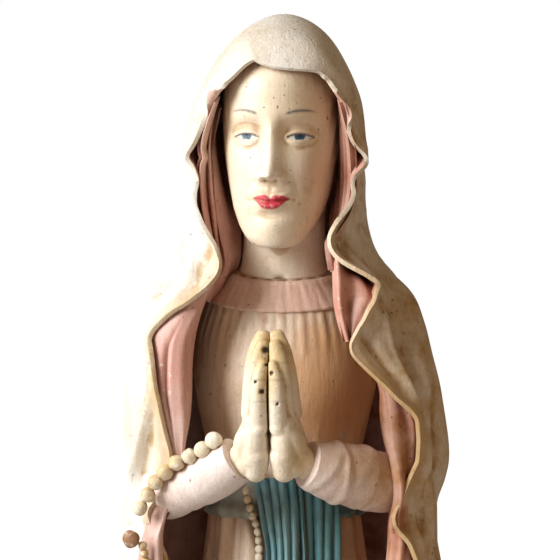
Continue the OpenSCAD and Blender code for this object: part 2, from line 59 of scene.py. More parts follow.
def spline(rows, t):
    # a smooth curve through rows, at row numbers t
    rows = np.asarray(rows, float)
    t = np.asarray(t, float)
    last = len(rows) - 1
    i = np.clip(np.floor(t).astype(int), 0, last - 1)
    f = (t - i).reshape(t.shape + (1,) * (rows.ndim - 1))
    a, b = rows[np.maximum(i - 1, 0)], rows[i]
    c, d = rows[i + 1], rows[np.minimum(i + 2, last)]
    return 0.5 * (2 * b + (c - a) * f + (2 * a - 5 * b + 4 * c - d) * f**2 + (3 * b - a - 3 * c + d) * f**3)


def along(rows, key):
    # rows whose first column rises, read smoothly at key
    rows = np.asarray(rows, float)
    if rows[0, 0] > rows[-1, 0]:
        rows = rows[::-1]
    return spline(rows[:, 1:], np.interp(key, rows[:, 0], np.arange(len(rows))))


def soften(values, width):
    # a running mean along the first axis, that keeps both ends
    reach = int(3 * width) + 1
    weight = np.exp(-0.5 * (np.arange(-reach, reach + 1) / width) ** 2)
    weight /= weight.sum()
    first, last = values[:1], values[-1:]
    padded = np.concatenate([2 * first - values[reach:0:-1], values, 2 * last - values[-2:-reach - 2:-1]])
    flat = padded.reshape(len(padded), -1)
    out = np.stack([np.convolve(col, weight, "valid") for col in flat.T], axis=1)
    return out.reshape(values.shape)


def normalsOf(grid):
    across = np.gradient(grid, axis=1)
    down = np.gradient(grid, axis=0)
    n = np.cross(across, down)
    return n / np.maximum(np.linalg.norm(n, axis=2, keepdims=True), 1e-9)


def ridge(x, centre, width):
    return np.exp(-(((x - centre) / width) ** 2))


def step(x, low, high):
    t = np.clip((x - low) / (high - low), 0, 1)
    return t * t * (3 - 2 * t)


def newObject(name, verts, faces):
    mesh = bpy.data.meshes.new(name)
    mesh.from_pydata([tuple(v) for v in verts], [], faces)
    mesh.update()
    obj = bpy.data.objects.new(name, mesh)
    bpy.context.scene.collection.objects.link(obj)
    return obj


def gridObject(name, grid, ring=False, caps=False):
    rows, cols = grid.shape[:2]
    index = np.arange(rows * cols).reshape(rows, cols)
    nxt = np.roll(index, -1, axis=1) if ring else index[:, 1:]
    here = index if ring else index[:, :-1]
    quads = np.stack([here[:-1], nxt[:-1], nxt[1:], here[1:]], axis=-1).reshape(-1, 4)
    faces = quads.tolist()
    if caps:
        faces.append(index[0, ::-1].tolist())
        faces.append(index[-1].tolist())
    return newObject(name, place(grid.reshape(-1, 3)), faces)


def readAll(items, key, width, kind=np.float32):
    # one row for each vertex or edge
    out = np.empty(len(items) * width, kind)
    items.foreach_get(key, out)
    return out.reshape(-1, width)


def only(obj):
    if bpy.context.mode != "OBJECT":
        bpy.ops.object.mode_set(mode="OBJECT")
    bpy.ops.object.select_all(action="DESELECT")
    obj.select_set(True)
    bpy.context.view_layer.objects.active = obj


def editAll(obj):
    only(obj)
    bpy.ops.object.mode_set(mode="EDIT")
    bpy.ops.mesh.select_all(action="SELECT")


def outward(obj, merge=True):
    editAll(obj)
    if merge:
        bpy.ops.mesh.remove_doubles(threshold=1e-6)
    bpy.ops.mesh.normals_make_consistent(inside=False)
    bpy.ops.object.mode_set(mode="OBJECT")


def turnOver(obj):
    editAll(obj)
    bpy.ops.mesh.flip_normals()
    bpy.ops.object.mode_set(mode="OBJECT")


def faceFront(obj):
    if sum(p.normal.y for p in obj.data.polygons) > 0:
        turnOver(obj)


def applyAll(obj):
    only(obj)
    for m in list(obj.modifiers):
        bpy.ops.object.modifier_apply(modifier=m.name)


def thicken(obj, wall, materials, lining=0, roundEdge=0.0):
    # the materials come first, because the wall takes its own from their order
    for mat in materials:
        obj.data.materials.append(mat)
    m = obj.modifiers.new("Wall", "SOLIDIFY")
    m.thickness = wall * unit
    m.offset = -1
    m.use_even_offset = False
    m.use_quality_normals = True
    m.material_offset = lining
    if roundEdge:
        m = obj.modifiers.new("Rim", "BEVEL")
        m.width = roundEdge * unit
        m.segments = 2
        m.limit_method = "ANGLE"
        m.angle_limit = math.radians(55)
    applyAll(obj)


def smooth(obj, angle=60):
    only(obj)
    bpy.ops.object.shade_smooth_by_angle(angle=math.radians(angle))


def joined(name, parts):
    bpy.ops.object.select_all(action="DESELECT")
    for p in parts:
        p.select_set(True)
    bpy.context.view_layer.objects.active = parts[0]
    if len(parts) > 1:
        bpy.ops.object.join()
    parts[0].name = name
    return parts[0]


def remeshed(obj, voxel, rounds=4, factor=0.5):
    m = obj.modifiers.new("Skin", "REMESH")
    m.mode = "VOXEL"
    m.voxel_size = voxel * unit
    m = obj.modifiers.new("Soft", "SMOOTH")
    m.iterations = rounds
    m.factor = factor
    applyAll(obj)


def paint(obj, name, values):
    layer = obj.data.attributes.new(name, "FLOAT", "POINT")
    layer.data.foreach_set("value", np.asarray(values, np.float32).ravel())


def pointsOf(obj):
    co = readAll(obj.data.vertices, "co", 3).astype(float)
    co[:, 2] -= rockTop
    return co / unit


def setPoints(obj, points):
    obj.data.vertices.foreach_set("co", place(points).astype(np.float32).ravel())
    obj.data.update()


def hollows(obj, rounds=6):
    # how far each vertex lies in a hollow of its own surface, from 0 on a ridge to 1 in a crease
    mesh = obj.data
    count = len(mesh.vertices)
    co = readAll(mesh.vertices, "co", 3)
    no = readAll(mesh.vertices, "normal", 3)
    a, b = readAll(mesh.edges, "vertices", 2, np.int32).T
    degree = np.bincount(np.concatenate([a, b]), minlength=count).astype(float)

    def mean(values):
        out = np.zeros_like(values)
        for k in range(values.shape[1]):
            out[:, k] = np.bincount(a, values[b, k], count) + np.bincount(b, values[a, k], count)
        return out / np.maximum(degree, 1)[:, None]

    blurred = co.astype(float)
    for _ in range(rounds):
        blurred = mean(blurred)
    depth = ((blurred - co) * no).sum(1)[:, None]
    for _ in range(3):
        depth = mean(depth)
    depth = depth[:, 0]
    scale = np.percentile(np.abs(depth), 92) + 1e-9
    paint(obj, "hollow", np.clip(0.5 + 0.5 * depth / scale, 0, 1))


def turned(normals, rng):
    # one random direction over each normal, more often near it
    count = len(normals)
    a = rng.uniform(0, 2 * math.pi, count)
    r = np.sqrt(rng.uniform(0, 1, count))
    side = np.cross(normals, np.where(np.abs(normals[:, :1]) < 0.7, [[1.0, 0, 0]], [[0, 1.0, 0]]))
    side /= np.linalg.norm(side, axis=1, keepdims=True)
    other = np.cross(normals, side)
    up = np.sqrt(1 - r * r)[:, None]
    return side * (r * np.cos(a))[:, None] + other * (r * np.sin(a))[:, None] + normals * up


shadeAndGrimeSize = {"rays": 18, "reach": 11.0, "lift": 0.35, "fade": 0.6, "spots": 5200, "spread": 26, "keep": 0.4}


def markShadeAndGrime(pieces):
    # how closed in each place is by the pieces round it, for painted shade in the enclosed places together
    # with the dirt that years leave there
    rng = np.random.default_rng(seed)
    reach = shadeAndGrimeSize["reach"] * unit
    keep = shadeAndGrimeSize["keep"]
    verts, faces, base = [], [], 0
    for obj in pieces:
        verts.append(pointsOf(obj) * unit)
        faces.extend([[base + v for v in p.vertices] for p in obj.data.polygons if len(p.vertices) < 5])
        base += len(obj.data.vertices)
    tree = BVHTree.FromPolygons(np.concatenate(verts).tolist(), faces)
    for obj, co in zip(pieces, verts):
        mesh = obj.data
        count = len(mesh.vertices)
        no = readAll(mesh.vertices, "normal", 3).astype(float)
        spots = np.arange(0, count, max(1, count // shadeAndGrimeSize["spots"]))
        hits = np.zeros(len(spots))
        start = co[spots] + no[spots] * shadeAndGrimeSize["lift"] * unit
        for _ in range(shadeAndGrimeSize["rays"]):
            way = turned(no[spots], rng)
            for k, (o, d) in enumerate(zip(start.tolist(), way.tolist())):
                distance = tree.ray_cast(o, d, reach)[3]
                if distance is not None:
                    hits[k] += 1 - shadeAndGrimeSize["fade"] * distance / reach
        known = np.zeros(count)
        value = np.zeros(count)
        known[spots] = 1
        value[spots] = hits / shadeAndGrimeSize["rays"]
        a, b = readAll(mesh.edges, "vertices", 2, np.int32).T
        degree = np.maximum(np.bincount(a, minlength=count) + np.bincount(b, minlength=count), 1)
        for _ in range(shadeAndGrimeSize["spread"]):
            near = np.bincount(a, known[b], count) + np.bincount(b, known[a], count)
            total = np.bincount(a, value[b], count) + np.bincount(b, value[a], count)
            value = keep * value + (1 - keep) * total / degree
            known = keep * known + (1 - keep) * near / degree
        paint(obj, "shadeAndGrime", np.clip(value / np.maximum(known, 1e-6), 0, 1))


# painted shade: the colour is browned on the figure's left, the side away from the key lamp, in front and
# above the waist
shadedSideSize = {"left": (-2, 42), "behind": 14, "fade": 22, "above": (150, 260), "least": 0.35}


def markShadedSide(obj):
    p = pointsOf(obj)
    left = step(p[:, 0], *shadedSideSize["left"])
    front = step(shadedSideSize["behind"] - p[:, 1], 0, shadedSideSize["fade"])
    above = shadedSideSize["least"] + (1 - shadedSideSize["least"]) * step(p[:, 2], *shadedSideSize["above"])
    paint(obj, "shadedSide", left * front * above)


painted = []


def finishPiece(obj, materials, nodes, angle=60):
    if not obj.data.materials:
        for m in materials:
            obj.data.materials.append(m)
    hollows(obj)
    markShadedSide(obj)
    smooth(obj, angle)
    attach(obj, "root")
    if nodes:
        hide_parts(*nodes)
    painted.append(obj)
    return obj


def nodeIn(tree, kind, **settings):
    n = tree.nodes.new(kind)
    for key, value in settings.items():
        setattr(n, key, value)
    return n


def mixColour(tree, factor, a, b, blend="MIX"):
    n = nodeIn(tree, "ShaderNodeMix", data_type="RGBA", blend_type=blend)
    for socket, value in ((0, factor), (6, a), (7, b)):
        if isinstance(value, bpy.types.NodeSocket):
            tree.links.new(value, n.inputs[socket])
        elif socket == 0:
            n.inputs[0].default_value = value
        else:
            n.inputs[socket].default_value = (*value, 1)
    return n.outputs[2]


def ramp(tree, source, stops, easing="EASE"):
    n = nodeIn(tree, "ShaderNodeValToRGB")
    n.color_ramp.interpolation = easing
    n.color_ramp.elements[0].position = stops[0][0]
    n.color_ramp.elements[0].color = (*[stops[0][1]] * 3, 1)
    n.color_ramp.elements[1].position = stops[-1][0]
    n.color_ramp.elements[1].color = (*[stops[-1][1]] * 3, 1)
    for at, value in stops[1:-1]:
        e = n.color_ramp.elements.new(at)
        e.color = (*[value] * 3, 1)
    tree.links.new(source, n.inputs[0])
    return n.outputs[0]


def arithmetic(tree, how, *values, clamp=False):
    n = nodeIn(tree, "ShaderNodeMath", operation=how, use_clamp=clamp)
    for i, v in enumerate(values):
        if isinstance(v, bpy.types.NodeSocket):
            tree.links.new(v, n.inputs[i])
        else:
            n.inputs[i].default_value = v
    return n.outputs[0]


def noiseAt(tree, vector, scale, detail=4, rough=0.55):
    n = nodeIn(tree, "ShaderNodeTexNoise")
    n.inputs["Scale"].default_value = scale
    n.inputs["Detail"].default_value = detail
    n.inputs["Roughness"].default_value = rough
    tree.links.new(vector, n.inputs["Vector"])
    return n


def attributeMask(tree, name):
    return nodeIn(tree, "ShaderNodeAttribute", attribute_name=name).outputs["Fac"]


# what each material may set, with the usual values
paintInputs = {
    "Paint": (0.8, 0.78, 0.7),
    "Second tone": (0.7, 0.6, 0.45),
    # the stain colour also paints shade into the hollows and the enclosed places
    "Shade and stain": (0.36, 0.22, 0.08),
    "Plaster": (0.84, 0.80, 0.70),
    # the dirt colour is also the painted shade in the most enclosed places
    "Shade and dirt": (0.10, 0.05, 0.025),
    "Variation": 0.5,
    "Shade and stain amount": 0.6,
    "Shade and dirt amount": 0.85,
    "Chips": 0.4,
    "Streaks": 0.5,
    "Gloss": 0.42,
}
# scale, detail and roughness of the noise behind each kind of mark
paintMarks = {
    "strokes": (900, 5, 0.6),
    "broad": (38, 3, 0.5),
    "patches": (120, 5, 0.62),
    "grain": (1500, 3, 0.6),
    "flecks": (620, 4, 0.7),
    "pits": (520, 2, 0.5),
}
paintTints = {
    "brushed": (0.74, 0.71, 0.66),
    "pit": (0.16, 0.10, 0.05),
    "grain": (0.32, 0.25, 0.16),
    # the brown of the painted shade on the figure's left
    "shadedBrown": (0.68, 0.47, 0.26),
}
strokeStretch = 0.16


def agedPaintGroup():
    # colour, roughness and height of old hand-brushed paint on plaster
    g = bpy.data.node_groups.new("agedPaint", "ShaderNodeTree")
    for name, value in paintInputs.items():
        colourful = isinstance(value, tuple)
        kind = "NodeSocketColor" if colourful else "NodeSocketFloat"
        socket = g.interface.new_socket(name, in_out="INPUT", socket_type=kind)
        socket.default_value = (*value, 1) if colourful else value
    g.interface.new_socket("Colour", in_out="OUTPUT", socket_type="NodeSocketColor")
    for name in ("Roughness", "Height", "Kept"):
        g.interface.new_socket(name, in_out="OUTPUT", socket_type="NodeSocketFloat")
    given = nodeIn(g, "NodeGroupInput").outputs
    made = nodeIn(g, "NodeGroupOutput").inputs

    def times(a, b, clamp=False):
        return arithmetic(g, "MULTIPLY", a, b, clamp=clamp)

    def plus(a, b, clamp=False):
        return arithmetic(g, "ADD", a, b, clamp=clamp)

    def less(a, b, clamp=False):
        return arithmetic(g, "SUBTRACT", a, b, clamp=clamp)

    def most(a, b):
        return arithmetic(g, "MAXIMUM", a, b)

    def between(source, low, high, first=0, last=1):
        # goes from first to last while the source goes from low to high
        return ramp(g, source, ((low, first), (high, last)))

    # brush strokes run down the cloth
    coord = nodeIn(g, "ShaderNodeTexCoord").outputs["Object"]
    stretch = nodeIn(g, "ShaderNodeMapping")
    stretch.inputs["Scale"].default_value = (1, 1, strokeStretch)
    g.links.new(coord, stretch.inputs["Vector"])
    marks = {}
    for name, (scale, detail, rough) in paintMarks.items():
        where = stretch.outputs[0] if name == "strokes" else coord
        marks[name] = noiseAt(g, where, scale, detail, rough).outputs["Fac"]
    patches, flecks = marks["patches"], marks["flecks"]
    hollow = attributeMask(g, "hollow")

    variation = times(between(marks["broad"], 0.38, 0.66), given["Variation"])
    colour = mixColour(g, variation, given["Paint"], given["Second tone"])
    streak = times(between(marks["strokes"], 0.4, 0.75), given["Streaks"])
    greyed = mixColour(g, 1.0, colour, paintTints["brushed"], "MULTIPLY")
    colour = mixColour(g, streak, colour, greyed)

    # ochre stain in loose patches, and ochre stain with painted shade in the hollows
    deep = times(between(hollow, 0.5, 0.8), between(patches, 0.4, 0.62, 0.1, 0.9))
    loose = times(between(patches, 0.57, 0.72), 0.62)
    stained = times(most(deep, loose), given["Shade and stain amount"], clamp=True)
    colour = mixColour(g, stained, colour, given["Shade and stain"])

    # paint is knocked off the ridges and in small pits
    ridges = times(between(hollow, 0.12, 0.42, 1, 0), between(flecks, 0.55, 0.63))
    rare = times(between(flecks, 0.70, 0.73), 0.9)
    chip = times(most(ridges, rare), given["Chips"], clamp=True)
    colour = mixColour(g, chip, colour, given["Plaster"])
    spot = times(between(marks["pits"], 0.25, 0.295, 1, 0), given["Chips"], clamp=True)
    colour = mixColour(g, spot, colour, paintTints["pit"])
    colour = mixColour(g, between(marks["grain"], 0.3, 0.7, 0.16, 0), colour, paintTints["grain"])

    # painted shade browns the colour more on the figure's left, the side away from the key lamp
    cloudy = arithmetic(g, "MULTIPLY_ADD", between(patches, 0.36, 0.64), 0.5, 0.5)
    shadedBrown = mixColour(g, 1.0, colour, paintTints["shadedBrown"], "MULTIPLY")
    colour = mixColour(g, times(attributeMask(g, "shadedSide"), cloudy, clamp=True), colour, shadedBrown)

    # painted shade with years of dirt in the enclosed places, first brown and then nearly black
    uneven = plus(attributeMask(g, "shadeAndGrime"), times(less(patches, 0.5), 0.25))
    brown = times(between(uneven, 0.34, 0.72), given["Shade and stain amount"], clamp=True)
    colour = mixColour(g, times(brown, 0.75), colour, given["Shade and stain"])
    black = times(between(uneven, 0.60, 0.95), given["Shade and dirt amount"], clamp=True)
    colour = mixColour(g, black, colour, given["Shade and dirt"])
    g.links.new(colour, made["Colour"])

    rough = plus(given["Gloss"], times(patches, 0.22))
    g.links.new(plus(rough, times(chip, 0.3), clamp=True), made["Roughness"])
    # where the top coat is still on
    lost = most(chip, between(patches, 0.55, 0.68, 0, 0.8))
    g.links.new(less(1.0, lost, clamp=True), made["Kept"])

    height = times(marks["strokes"], 0.30)
    for mark, depth in ((marks["grain"], 0.10), (patches, 0.55), (chip, -0.22), (spot, -0.9)):
        height = plus(height, times(mark, depth))
    g.links.new(height, made["Height"])
    return g


agedPaint = agedPaintGroup()


def addBump(tree, height, shader, strength, depth):
    b = nodeIn(tree, "ShaderNodeBump")
    b.inputs["Strength"].default_value = strength
    b.inputs["Distance"].default_value = depth
    tree.links.new(height, b.inputs["Height"])
    tree.links.new(b.outputs["Normal"], shader.inputs["Normal"])


def newMaterial(name):
    mat = bpy.data.materials.new(name)
    mat.use_nodes = True
    return mat, mat.node_tree, mat.node_tree.nodes["Principled BSDF"]


paintDepth = 0.0009
lipHold = 0.55


def paintedPlaster(name, settings, layers=(), bump=0.6):
    # layers are (mask attribute, colour, strength) painted over the ground coat in order
    mat, tree, shader = newMaterial(name)
    g = nodeIn(tree, "ShaderNodeGroup", node_tree=agedPaint)
    for key, value in settings.items():
        g.inputs[key].default_value = (*value, 1) if isinstance(value, tuple) else value
    colour = g.outputs["Colour"]
    for mask, tint, strength in layers:
        amount = arithmetic(tree, "MULTIPLY", attributeMask(tree, mask), strength, clamp=True)
        kept = g.outputs["Kept"]
        if mask == "lip":
            # the lips are painted thicker and have lost less
            kept = arithmetic(tree, "MULTIPLY_ADD", kept, 1 - lipHold, lipHold)
        amount = arithmetic(tree, "MULTIPLY", amount, kept)
        colour = mixColour(tree, amount, colour, tint)
    tree.links.new(colour, shader.inputs["Base Color"])
    tree.links.new(g.outputs["Roughness"], shader.inputs["Roughness"])
    addBump(tree, g.outputs["Height"], shader, bump, paintDepth)
    shader.inputs["Specular IOR Level"].default_value = 0.42
    return mat


mantleLook = {
    "Paint": (0.85, 0.85, 0.82),
    "Second tone": (0.70, 0.60, 0.45),
    "Shade and stain": (0.42, 0.27, 0.11),
    "Variation": 0.65,
    "Shade and stain amount": 0.95,
    "Chips": 0.75,
    "Streaks": 0.55,
    "Gloss": 0.40,
}
liningLook = {
    "Paint": (0.64, 0.34, 0.29),
    "Second tone": (0.78, 0.58, 0.52),
    "Shade and stain": (0.30, 0.10, 0.05),
    "Plaster": (0.84, 0.70, 0.60),
    "Variation": 0.8,
    "Shade and stain amount": 0.8,
    "Chips": 0.8,
    "Streaks": 0.5,
    "Gloss": 0.34,
}
gownLook = {
    "Paint": (0.82, 0.69, 0.55),
    "Second tone": (0.74, 0.46, 0.27),
    "Shade and stain": (0.44, 0.19, 0.06),
    "Variation": 0.75,
    "Shade and stain amount": 0.6,
    "Chips": 0.6,
    "Streaks": 0.7,
    "Gloss": 0.40,
}
collarLook = {
    "Paint": (0.80, 0.55, 0.45),
    "Second tone": (0.84, 0.70, 0.60),
    "Shade and stain": (0.46, 0.22, 0.10),
    "Variation": 0.8,
    "Shade and stain amount": 0.4,
    "Chips": 0.9,
    "Streaks": 0.3,
    "Gloss": 0.40,
}
skinLook = {
    "Paint": (0.83, 0.74, 0.60),
    "Second tone": (0.78, 0.60, 0.38),
    "Shade and stain": (0.44, 0.24, 0.08),
    "Variation": 0.55,
    "Shade and stain amount": 0.65,
    "Chips": 0.85,
    "Streaks": 0.15,
    "Gloss": 0.36,
}
sleeveLook = {
    "Paint": (0.84, 0.73, 0.69),
    "Second tone": (0.78, 0.60, 0.50),
    "Shade and stain": (0.46, 0.24, 0.11),
    "Variation": 0.6,
    "Shade and stain amount": 0.5,
    "Chips": 0.6,
    "Streaks": 0.4,
    "Gloss": 0.38,
}
sashLook = {
    "Paint": (0.07, 0.24, 0.29),
    "Second tone": (0.22, 0.38, 0.41),
    "Shade and stain": (0.03, 0.07, 0.10),
    "Plaster": (0.60, 0.66, 0.62),
    "Variation": 0.8,
    "Shade and stain amount": 0.9,
    "Chips": 0.6,
    "Streaks": 0.7,
    "Gloss": 0.36,
}
beadLook = {
    "Paint": (0.84, 0.78, 0.64),
    "Second tone": (0.66, 0.46, 0.20),
    "Shade and stain": (0.36, 0.21, 0.06),
    "Variation": 1.0,
    "Shade and stain amount": 1.0,
    "Chips": 0.9,
    "Streaks": 0.3,
    "Gloss": 0.36,
}
giltLook = {
    "Paint": (0.50, 0.30, 0.13),
    "Second tone": (0.44, 0.20, 0.10),
    "Shade and stain": (0.14, 0.06, 0.03),
    "Variation": 0.9,
    "Shade and stain amount": 1.0,
    "Chips": 0.8,
    "Streaks": 0.1,
    "Gloss": 0.34,
}
bossLook = {
    **giltLook,
    "Paint": (0.26, 0.12, 0.06),
    "Second tone": (0.36, 0.20, 0.10),
    "Chips": 0.35,
}
rockLook = {
    "Paint": (0.20, 0.19, 0.13),
    "Second tone": (0.30, 0.24, 0.14),
    "Shade and stain": (0.07, 0.06, 0.03),
    "Plaster": (0.60, 0.55, 0.44),
    "Variation": 1.0,
    "Shade and stain amount": 1.0,
    "Chips": 0.8,
    "Streaks": 0.0,
    "Gloss": 0.55,
}

mantleMat = paintedPlaster("mantlePaint", mantleLook, layers=(
    ("hem", (0.50, 0.31, 0.12), 0.85),
    ("hem", (0.62, 0.44, 0.22), 0.3)))
liningMat = paintedPlaster("liningPaint", liningLook, bump=0.3)
# the amber layer is partly the gown's own warmer tone and partly painted shade on the side away from the
# key lamp
gownMat = paintedPlaster("gownPaint", gownLook, layers=(("amberAndShade", (0.66, 0.36, 0.15), 0.75),))
collarMat = paintedPlaster("collarPaint", collarLook)
skinMat = paintedPlaster("skinPaint", skinLook, layers=(
    ("blush", (0.72, 0.36, 0.28), 0.30),
    ("eyeWhite", (0.72, 0.70, 0.62), 0.9),
    ("iris", (0.015, 0.09, 0.15), 1.0),
    ("lid", (0.62, 0.46, 0.32), 0.35),
    ("lash", (0.03, 0.03, 0.05), 0.95),
    ("brow", (0.05, 0.06, 0.09), 0.9),
    ("lip", (0.52, 0.03, 0.06), 1.0),
    ("nostril", (0.22, 0.10, 0.05), 0.8)), bump=0.4)
handMat = paintedPlaster("handPaint", skinLook, layers=(
    # rubbed ochre at the finger tips, with ochre painted shade in the seam between the hands
    ("wearAndShade", (0.56, 0.40, 0.16), 0.75),
    # near-black painted shade in the finger creases and the pits
    ("crease", (0.05, 0.03, 0.02), 1.0)))
sleeveMat = paintedPlaster("sleevePaint", sleeveLook)
sashMat = paintedPlaster("sashPaint", sashLook, layers=(("faded", (0.34, 0.32, 0.26), 0.9),))
beadMat = paintedPlaster("beadPaint", beadLook)
giltMat = paintedPlaster("giltPaint", giltLook)
bossMat = paintedPlaster("bossPaint", bossLook)
rockMat = paintedPlaster("rockPaint", rockLook, bump=0.9)
print("materials made")


mantleSize = {
    "wall": 1.35,
    "rowsPerLevel": 9,
    "rowsBelow": 56,
    "across": 188,
    "seenLevels": 16,
    "foldDepth": 0.75,
    "creaseStrength": 1.45,
    "hemFolds": 11,
    "hemDepth": 2.1,
    "roundEdge": 0.45,
}
# border height, then the middle of the back (y z), and x y of the back, the widest part and the front
bodyRows = [
    [378, -25.2, 384.7, 8.5, -24.3, 14.3, -22.8, 17.6, -21.4],
    [370, -17, 395, 12.2, -17, 20.6, -17, 22.2, -17.2],
    [360.5, 1, 400, 13.2, -1, 23.3, -7, 25.8, -14],
    [351, 17, 394, 13.8, 13, 24.6, 2, 26.6, -10],
    [341.6, 26, 378, 15, 21.5, 26.2, 5, 26.8, -9],
    [333.5, 28, 358, 16.5, 24, 27, 6, 27.5, -9.5],
    [326, 27.5, 340, 18.5, 23.5, 30, 5, 29.8, -11],
    [321.5, 27.3, 330, 20.5, 23.5, 33.2, 4.5, 32.4, -12.5],
    [313, 27.5, 320, 23.5, 23.5, 38.8, 4, 37.4, -13.5],
    [305, 28, 311, 25.5, 24, 43, 3, 41, -15],
    [300, 28.5, 303, 26.5, 24.5, 45, 2, 43, -16],
    [290, 28.5, 292, 27, 24.5, 46.8, 1, 45.2, -16.5],
    [278, 29, 280, 27.5, 25, 48.3, 0, 46.6, -17],
    [270, 29, 270, 27.5, 25, 48.8, 0, 47, -17.5],
    [261, 29, 261, 27.5, 25, 48.5, 0, 46.8, -17.5],
    [248, 29, 248, 27.5, 25, 48, 0, 46.4, -17.5],
    [235, 29.2, 235, 27.5, 25, 48, 0, 46.2, -17.5],
    [200, 30, 200, 27.5, 26, 47.5, 0, 45.5, -17.5],
    [150, 32, 150, 28, 27.5, 46.5, 1, 44.6, -18],
    [90, 35, 90, 29, 30, 46.8, 1, 45, -20],
    [40, 37.5, 40, 30, 33, 48.2, 1, 46.2, -22],
    [0.4, 38.5, 0.4, 31, 34, 49.6, 1, 47.4, -23],
]
# how far the cloth stands out from that on the figure's right and left, by height
sideRows = [
    [0.4, 0, 0], [200, 0, 0], [242, -1.1, -0.5], [254, -2.3, -0.9], [262, -3.4, 0], [268, -3.2, 0.5],
    [278, -2.4, 0], [290, -1.4, -0.9], [300, -1.6, -2.2], [306, 0.9, -2.0], [312, 1.8, -1.4],
    [318, 1.4, -1.9], [322, 1.0, -3.8], [328, 0.8, -4.0], [336, 1.8, -2.9], [345, 0.8, -3.8],
    [349.5, -0.8, -4.6], [353, 0.2, -3.2], [356.5, 1.6, -0.9], [360, 1.2, -1.2], [366, -0.6, -1.6],
    [378, -0.6, -1.8], [386, 0, 0], [400, 0, 0],
]
# the free borders, from the temple to the hem: x, y, height
rightBorder = [
    [-19.8, -20, 377.8], [-21.8, -18.5, 371.7], [-23.9, -18, 365.7], [-25.4, -18, 362.4],
    [-27.4, -17, 358], [-26.2, -16, 355.3], [-25.9, -17, 350.3], [-25.4, -18.5, 343],
    [-22.7, -21, 337.7], [-18.4, -24.5, 331.6], [-16.5, -26, 327.2], [-17, -27, 324], [-20.2, -28, 320],
    [-26.2, -28, 315.8], [-32.6, -27, 311.5], [-37.2, -26, 307], [-38.3, -26.5, 304.3],
    [-37.6, -27.5, 301.5], [-36.9, -28.5, 297.4], [-35.9, -30, 290.6], [-34.5, -31, 284.7],
    [-32.7, -31.5, 277.2], [-30.8, -32, 270.6], [-30.8, -32, 263.4], [-34.6, -30.5, 257.9],
    [-38, -29.5, 253], [-37.2, -29, 249.4], [-34.8, -29, 244.6], [-32, -29.5, 238], [-34.5, -30, 228],
    [-38, -29.8, 215], [-33, -31, 200], [-27.5, -32.5, 184], [-30.5, -32, 178], [-36.5, -29.5, 168],
    [-38.2, -29, 150], [-36, -30.5, 125], [-30, -33, 104], [-31.5, -33, 97], [-37, -31, 86],
    [-39, -30.5, 60], [-37.5, -32.5, 25], [-38, -33, 0.4],
]
leftBorder = [
    [18.4, -21, 378], [22, -18.5, 373.3], [22.7, -18, 370.3], [21.7, -18.5, 365.4], [23.4, -17.5, 361.7],
    [25.9, -16.5, 358.7], [26.6, -16, 355.4], [24.4, -17, 352.7], [23.8, -18, 350.4], [23.9, -19, 346.8],
    [22.3, -20.5, 343.3], [18.6, -23, 339], [16.4, -25, 334.9], [16.8, -26, 331.7], [19, -27, 329],
    [23, -28, 326.8], [27.5, -28, 324.7], [32, -27.5, 321.6], [31.6, -27, 319.5], [30.5, -27.5, 316.8],
    [28.5, -28.5, 313.3], [27, -29.5, 310], [24.8, -30.5, 306.5], [23.1, -31, 303.3],
    [23.7, -31.3, 300.6], [26.7, -31.3, 297.6], [30, -31.2, 294.6], [34.2, -31, 290.7],
    [37.7, -30.5, 287], [40.6, -29.5, 284.9], [43, -28.5, 281.5], [43.6, -28.4, 274.6],
    [43.3, -28.8, 268.3], [40.3, -30, 262], [38.4, -31, 256.8], [36.3, -31.5, 252.9],
    [36.6, -31.5, 249.6], [41, -30.5, 244.7], [43.5, -29, 238], [42, -29.5, 222], [38, -30.5, 210],
    [30, -33, 190], [28.5, -33.5, 184], [33, -32, 176], [39, -30, 162], [38.5, -30, 140], [33, -33, 112],
    [31, -34, 102], [36, -32.5, 94], [40, -31, 70], [38, -33, 30], [38.5, -33, 0.4],
]
# the edge over the forehead: x and height
foreheadEdge = [[-19.8, 377.8], [-16.5, 379.6], [-13.2, 382.2], [-9.5, 385.8], [-6.6, 387.6], [-4.0, 386.4],
                [-0.5, 385.4], [4, 384.9], [8, 384.6], [12.5, 384.2], [15.5, 382.2], [18.4, 378]]
# long creases of the cloth: places (x, height) down each one, how far it stands out and how wide it is
creases = [
    ([[31.9, 318.5], [34.5, 313.7], [37.3, 306.2], [38.8, 299.3], [41.2, 293], [44.2, 285.5],
      [46.6, 276.5], [47.5, 267.5], [47.8, 258.5], [48.1, 237.5]], -1.5, 1.6),
    ([[29.8, 315.5], [32.4, 309.5], [35.2, 301.8], [39.4, 293], [43.3, 283.4], [45.2, 273.5],
      [45.4, 261.5], [45.6, 237.5]], 0.9, 1.2),
    ([[35, 324], [38.5, 316], [41.4, 306], [43.6, 296], [46, 286]], 0.8, 1.7),
    ([[24.4, 346.1], [23.5, 341.4], [24.7, 335.9], [26, 331.4]], -1.3, 1.0),
    ([[26.5, 346], [26.8, 338.9], [28.9, 328.1], [31, 322]], 0.7, 0.8),
    ([[20, 336], [21, 332], [23.4, 329.6], [26, 328]], -0.3, 1.0),
    ([[26, 309], [27, 305.6], [30, 301], [34, 296], [38, 291]], -0.7, 1.1),
    ([[-20.0, 331.5], [-20.9, 328.7], [-23, 324.5], [-24.8, 319.7], [-27.8, 314]], -0.9, 1.7),
    ([[-24.2, 335.9], [-24.8, 329.6], [-26.4, 321.5], [-30.2, 314]], 0.9, 1.3),
    ([[-29, 334], [-32, 324], [-36.5, 313], [-40, 303]], -0.5, 1.6),
    ([[-37.4, 285.5], [-39.2, 278], [-41.6, 267.5], [-44, 256]], 1.6, 1.2),
    ([[-36.2, 285.5], [-37.4, 278], [-39.4, 267.5], [-41.6, 256]], -1.2, 1.3),
    ([[-41, 297], [-42.4, 285], [-44, 272], [-45, 260]], -0.4, 1.8),
]


